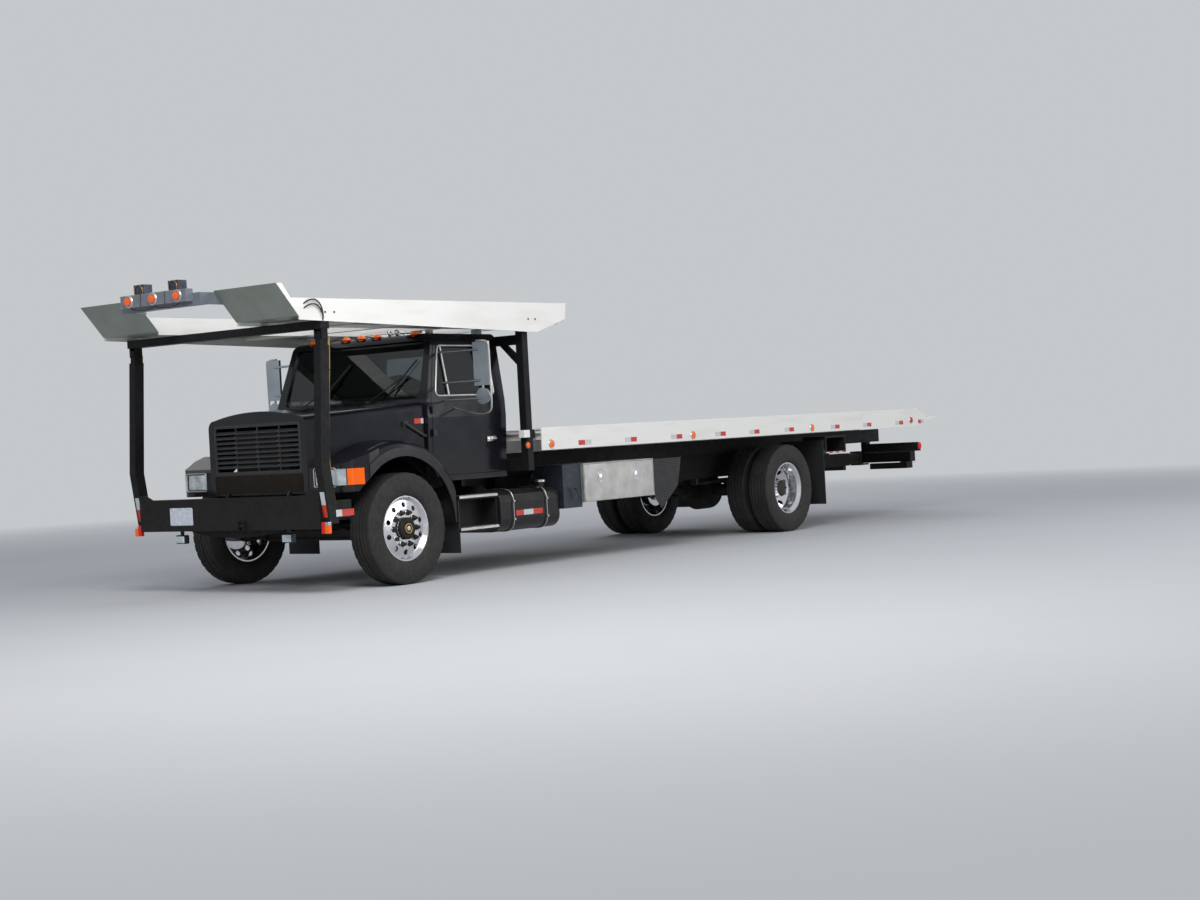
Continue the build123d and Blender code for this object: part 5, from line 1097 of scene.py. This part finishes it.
def cushion(name, centre, size, lean):
    """Crowned seat pad: a box swollen between its corners, drawn in along channels and at its faces."""
    shape = Shape()
    bmesh.ops.create_cube(shape.bm, size=2.0)
    bmesh.ops.subdivide_edges(shape.bm, edges=shape.bm.edges, cuts=CUSHION_CUTS, use_grid_fill=True)
    turn = Matrix.Rotation(math.radians(lean), 3, "Y")
    half = Vector(size) / 2000
    for vert in shape.bm.verts:
        u, v, w = vert.co
        crown = (1 - u ** 4) * (1 - v ** 4)
        channel = 0.06 * max(0.0, math.cos(v * math.pi * 2.5)) * (1 - u ** 2)
        pull = 1 - 0.06 * w * w
        place = Vector((u * half.x * pull, v * half.y * pull, w * half.z * (0.74 + 0.26 * crown - channel)))
        vert.co = at(*centre) + turn @ place
    piece = shape.make(name, "seat_cloth", "chassis")
    smooth = piece.modifiers.new("round", "SUBSURF")
    smooth.levels = smooth.render_levels = 1
    return piece


class TRUCK_OT_seats(bpy.types.Operator):
    """Upholster the seats"""

    bl_idname = "truck.seats"
    bl_label = "Seats"

    def execute(self, context):
        first, shape = None, Shape()
        for i, (y, half) in enumerate(((520, 260), (-350, 430))):
            seat = cushion(f"seat_cushion_{i}", (-1178, y, 1340), (430, half * 2 - 10, 118), 2.0)
            cushion(f"seat_back_{i}", (-1395, y, 1620), (112, half * 2 - 16, 560), -11.0)
            shape.box(-1360, -1000, y - half + 60, y + half - 60, 960, 1282)
            shape.make(f"seat_plinth_{i}", "black_rubber", "chassis", 18, slot="trim_fabric")
            first = first or seat
        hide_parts("seats")
        return {"FINISHED"}


class TRUCK_OT_stage(bpy.types.Operator):
    """Set up floor, lights and the camera"""

    bl_idname = "truck.stage"
    bl_label = "Stage"

    def execute(self, context):
        scene = context.scene
        scene.view_settings.view_transform = "Standard"
        mesh = bpy.data.meshes.new("floor")
        half = FLOOR_HALF
        mesh.from_pydata([(-half, -half, 0), (half, -half, 0), (half, half, 0), (-half, half, 0)], [],
                         [(0, 1, 2, 3)])
        mesh.materials.append(finish("pale_floor"))
        link("floor", mesh)
        self.world(scene)
        for lamp in LAMPS:
            self.lamp(*lamp)
        self.camera(scene)
        return {"FINISHED"}

    def world(self, scene):
        """Soft light from all round, with the plain backdrop where the camera sees it."""
        world = bpy.data.worlds.new("studio")
        scene.world = world
        world.use_nodes = True
        t = Tree(world)
        rays = t.add("ShaderNodeLightPath").outputs
        seen = rays["Is Camera Ray"]
        for kind in ("Is Glossy Ray", "Is Transmission Ray"):
            seen = t.math("MAXIMUM", seen, rays[kind])
        soft = t.tree.nodes["Background"]
        t.join(SOFT_LIGHT, soft.inputs["Color"])
        t.join(SOFT_STRENGTH, soft.inputs["Strength"])
        backdrop = t.add("ShaderNodeBackground", {"Color": BACKDROP})
        blend = t.add("ShaderNodeMixShader", {"Fac": seen, 1: soft.outputs[0], 2: backdrop.outputs[0]})
        t.join(blend.outputs["Shader"], t.tree.nodes["World Output"].inputs["Surface"])

    def lamp(self, name, place, aim, size, power):
        light = bpy.data.lights.new(name, "AREA")
        light.size = size
        light.energy = power
        lamp = link(name, light)
        lamp.location = place
        lamp.rotation_euler = (Vector(aim) - Vector(place)).to_track_quat("-Z", "Y").to_euler()

    def camera(self, scene):
        yaw, pitch, roll = (math.radians(angle) for angle in CAMERA_ANGLES)
        ahead = Vector((math.cos(yaw) * math.cos(pitch), math.sin(yaw) * math.cos(pitch), math.sin(pitch)))
        right = Vector((math.sin(yaw), -math.cos(yaw), 0))
        up = right.cross(ahead)
        side = right * math.cos(roll) + up * math.sin(roll)
        top = up * math.cos(roll) - right * math.sin(roll)
        camera = bpy.data.cameras.new("camera")
        camera.sensor_width = 36.0
        camera.lens = CAMERA_LENS
        camera.clip_end = 200.0
        holder = link("camera", camera)
        turn = Matrix((side, top, -ahead)).transposed().to_4x4()
        holder.matrix_world = Matrix.Translation(at(*CAMERA_PLACE)) @ turn
        scene.camera = holder


OPERATORS = (TRUCK_OT_stage, TRUCK_OT_paint_frame, TRUCK_OT_tyres, TRUCK_OT_wheel_fittings,
             TRUCK_OT_cab_fittings, TRUCK_OT_mirrors, TRUCK_OT_front_fittings, TRUCK_OT_tapes,
             TRUCK_OT_deck_fittings, TRUCK_OT_rack_fittings, TRUCK_OT_side_fittings, TRUCK_OT_seats)


class TRUCK_PT_panel(bpy.types.Panel):
    """Lists the operators and settings"""

    bl_idname = "TRUCK_PT_panel"
    bl_label = "Tow truck"
    bl_space_type = "VIEW_3D"
    bl_region_type = "UI"
    bl_category = "Tow truck"

    def draw(self, context):
        layout = self.layout
        for group in (context.scene.truck_colours, context.scene.truck_sizes):
            for name in group.__annotations__:
                layout.prop(group, name)
        for operator in OPERATORS:
            layout.operator(operator.bl_idname)


CLASSES = (TruckColours, TruckSizes) + OPERATORS + (TRUCK_PT_panel,)


def register():
    for cls in CLASSES:
        bpy.utils.register_class(cls)
    bpy.types.Scene.truck_colours = bpy.props.PointerProperty(type=TruckColours)
    bpy.types.Scene.truck_sizes = bpy.props.PointerProperty(type=TruckSizes)


def unregister():
    del bpy.types.Scene.truck_sizes
    del bpy.types.Scene.truck_colours
    for cls in reversed(CLASSES):
        bpy.utils.unregister_class(cls)


def main():
    register()
    for operator in OPERATORS:
        group, name = operator.bl_idname.split(".")
        getattr(getattr(bpy.ops, group), name)()


if __name__ == "__main__":
    main()
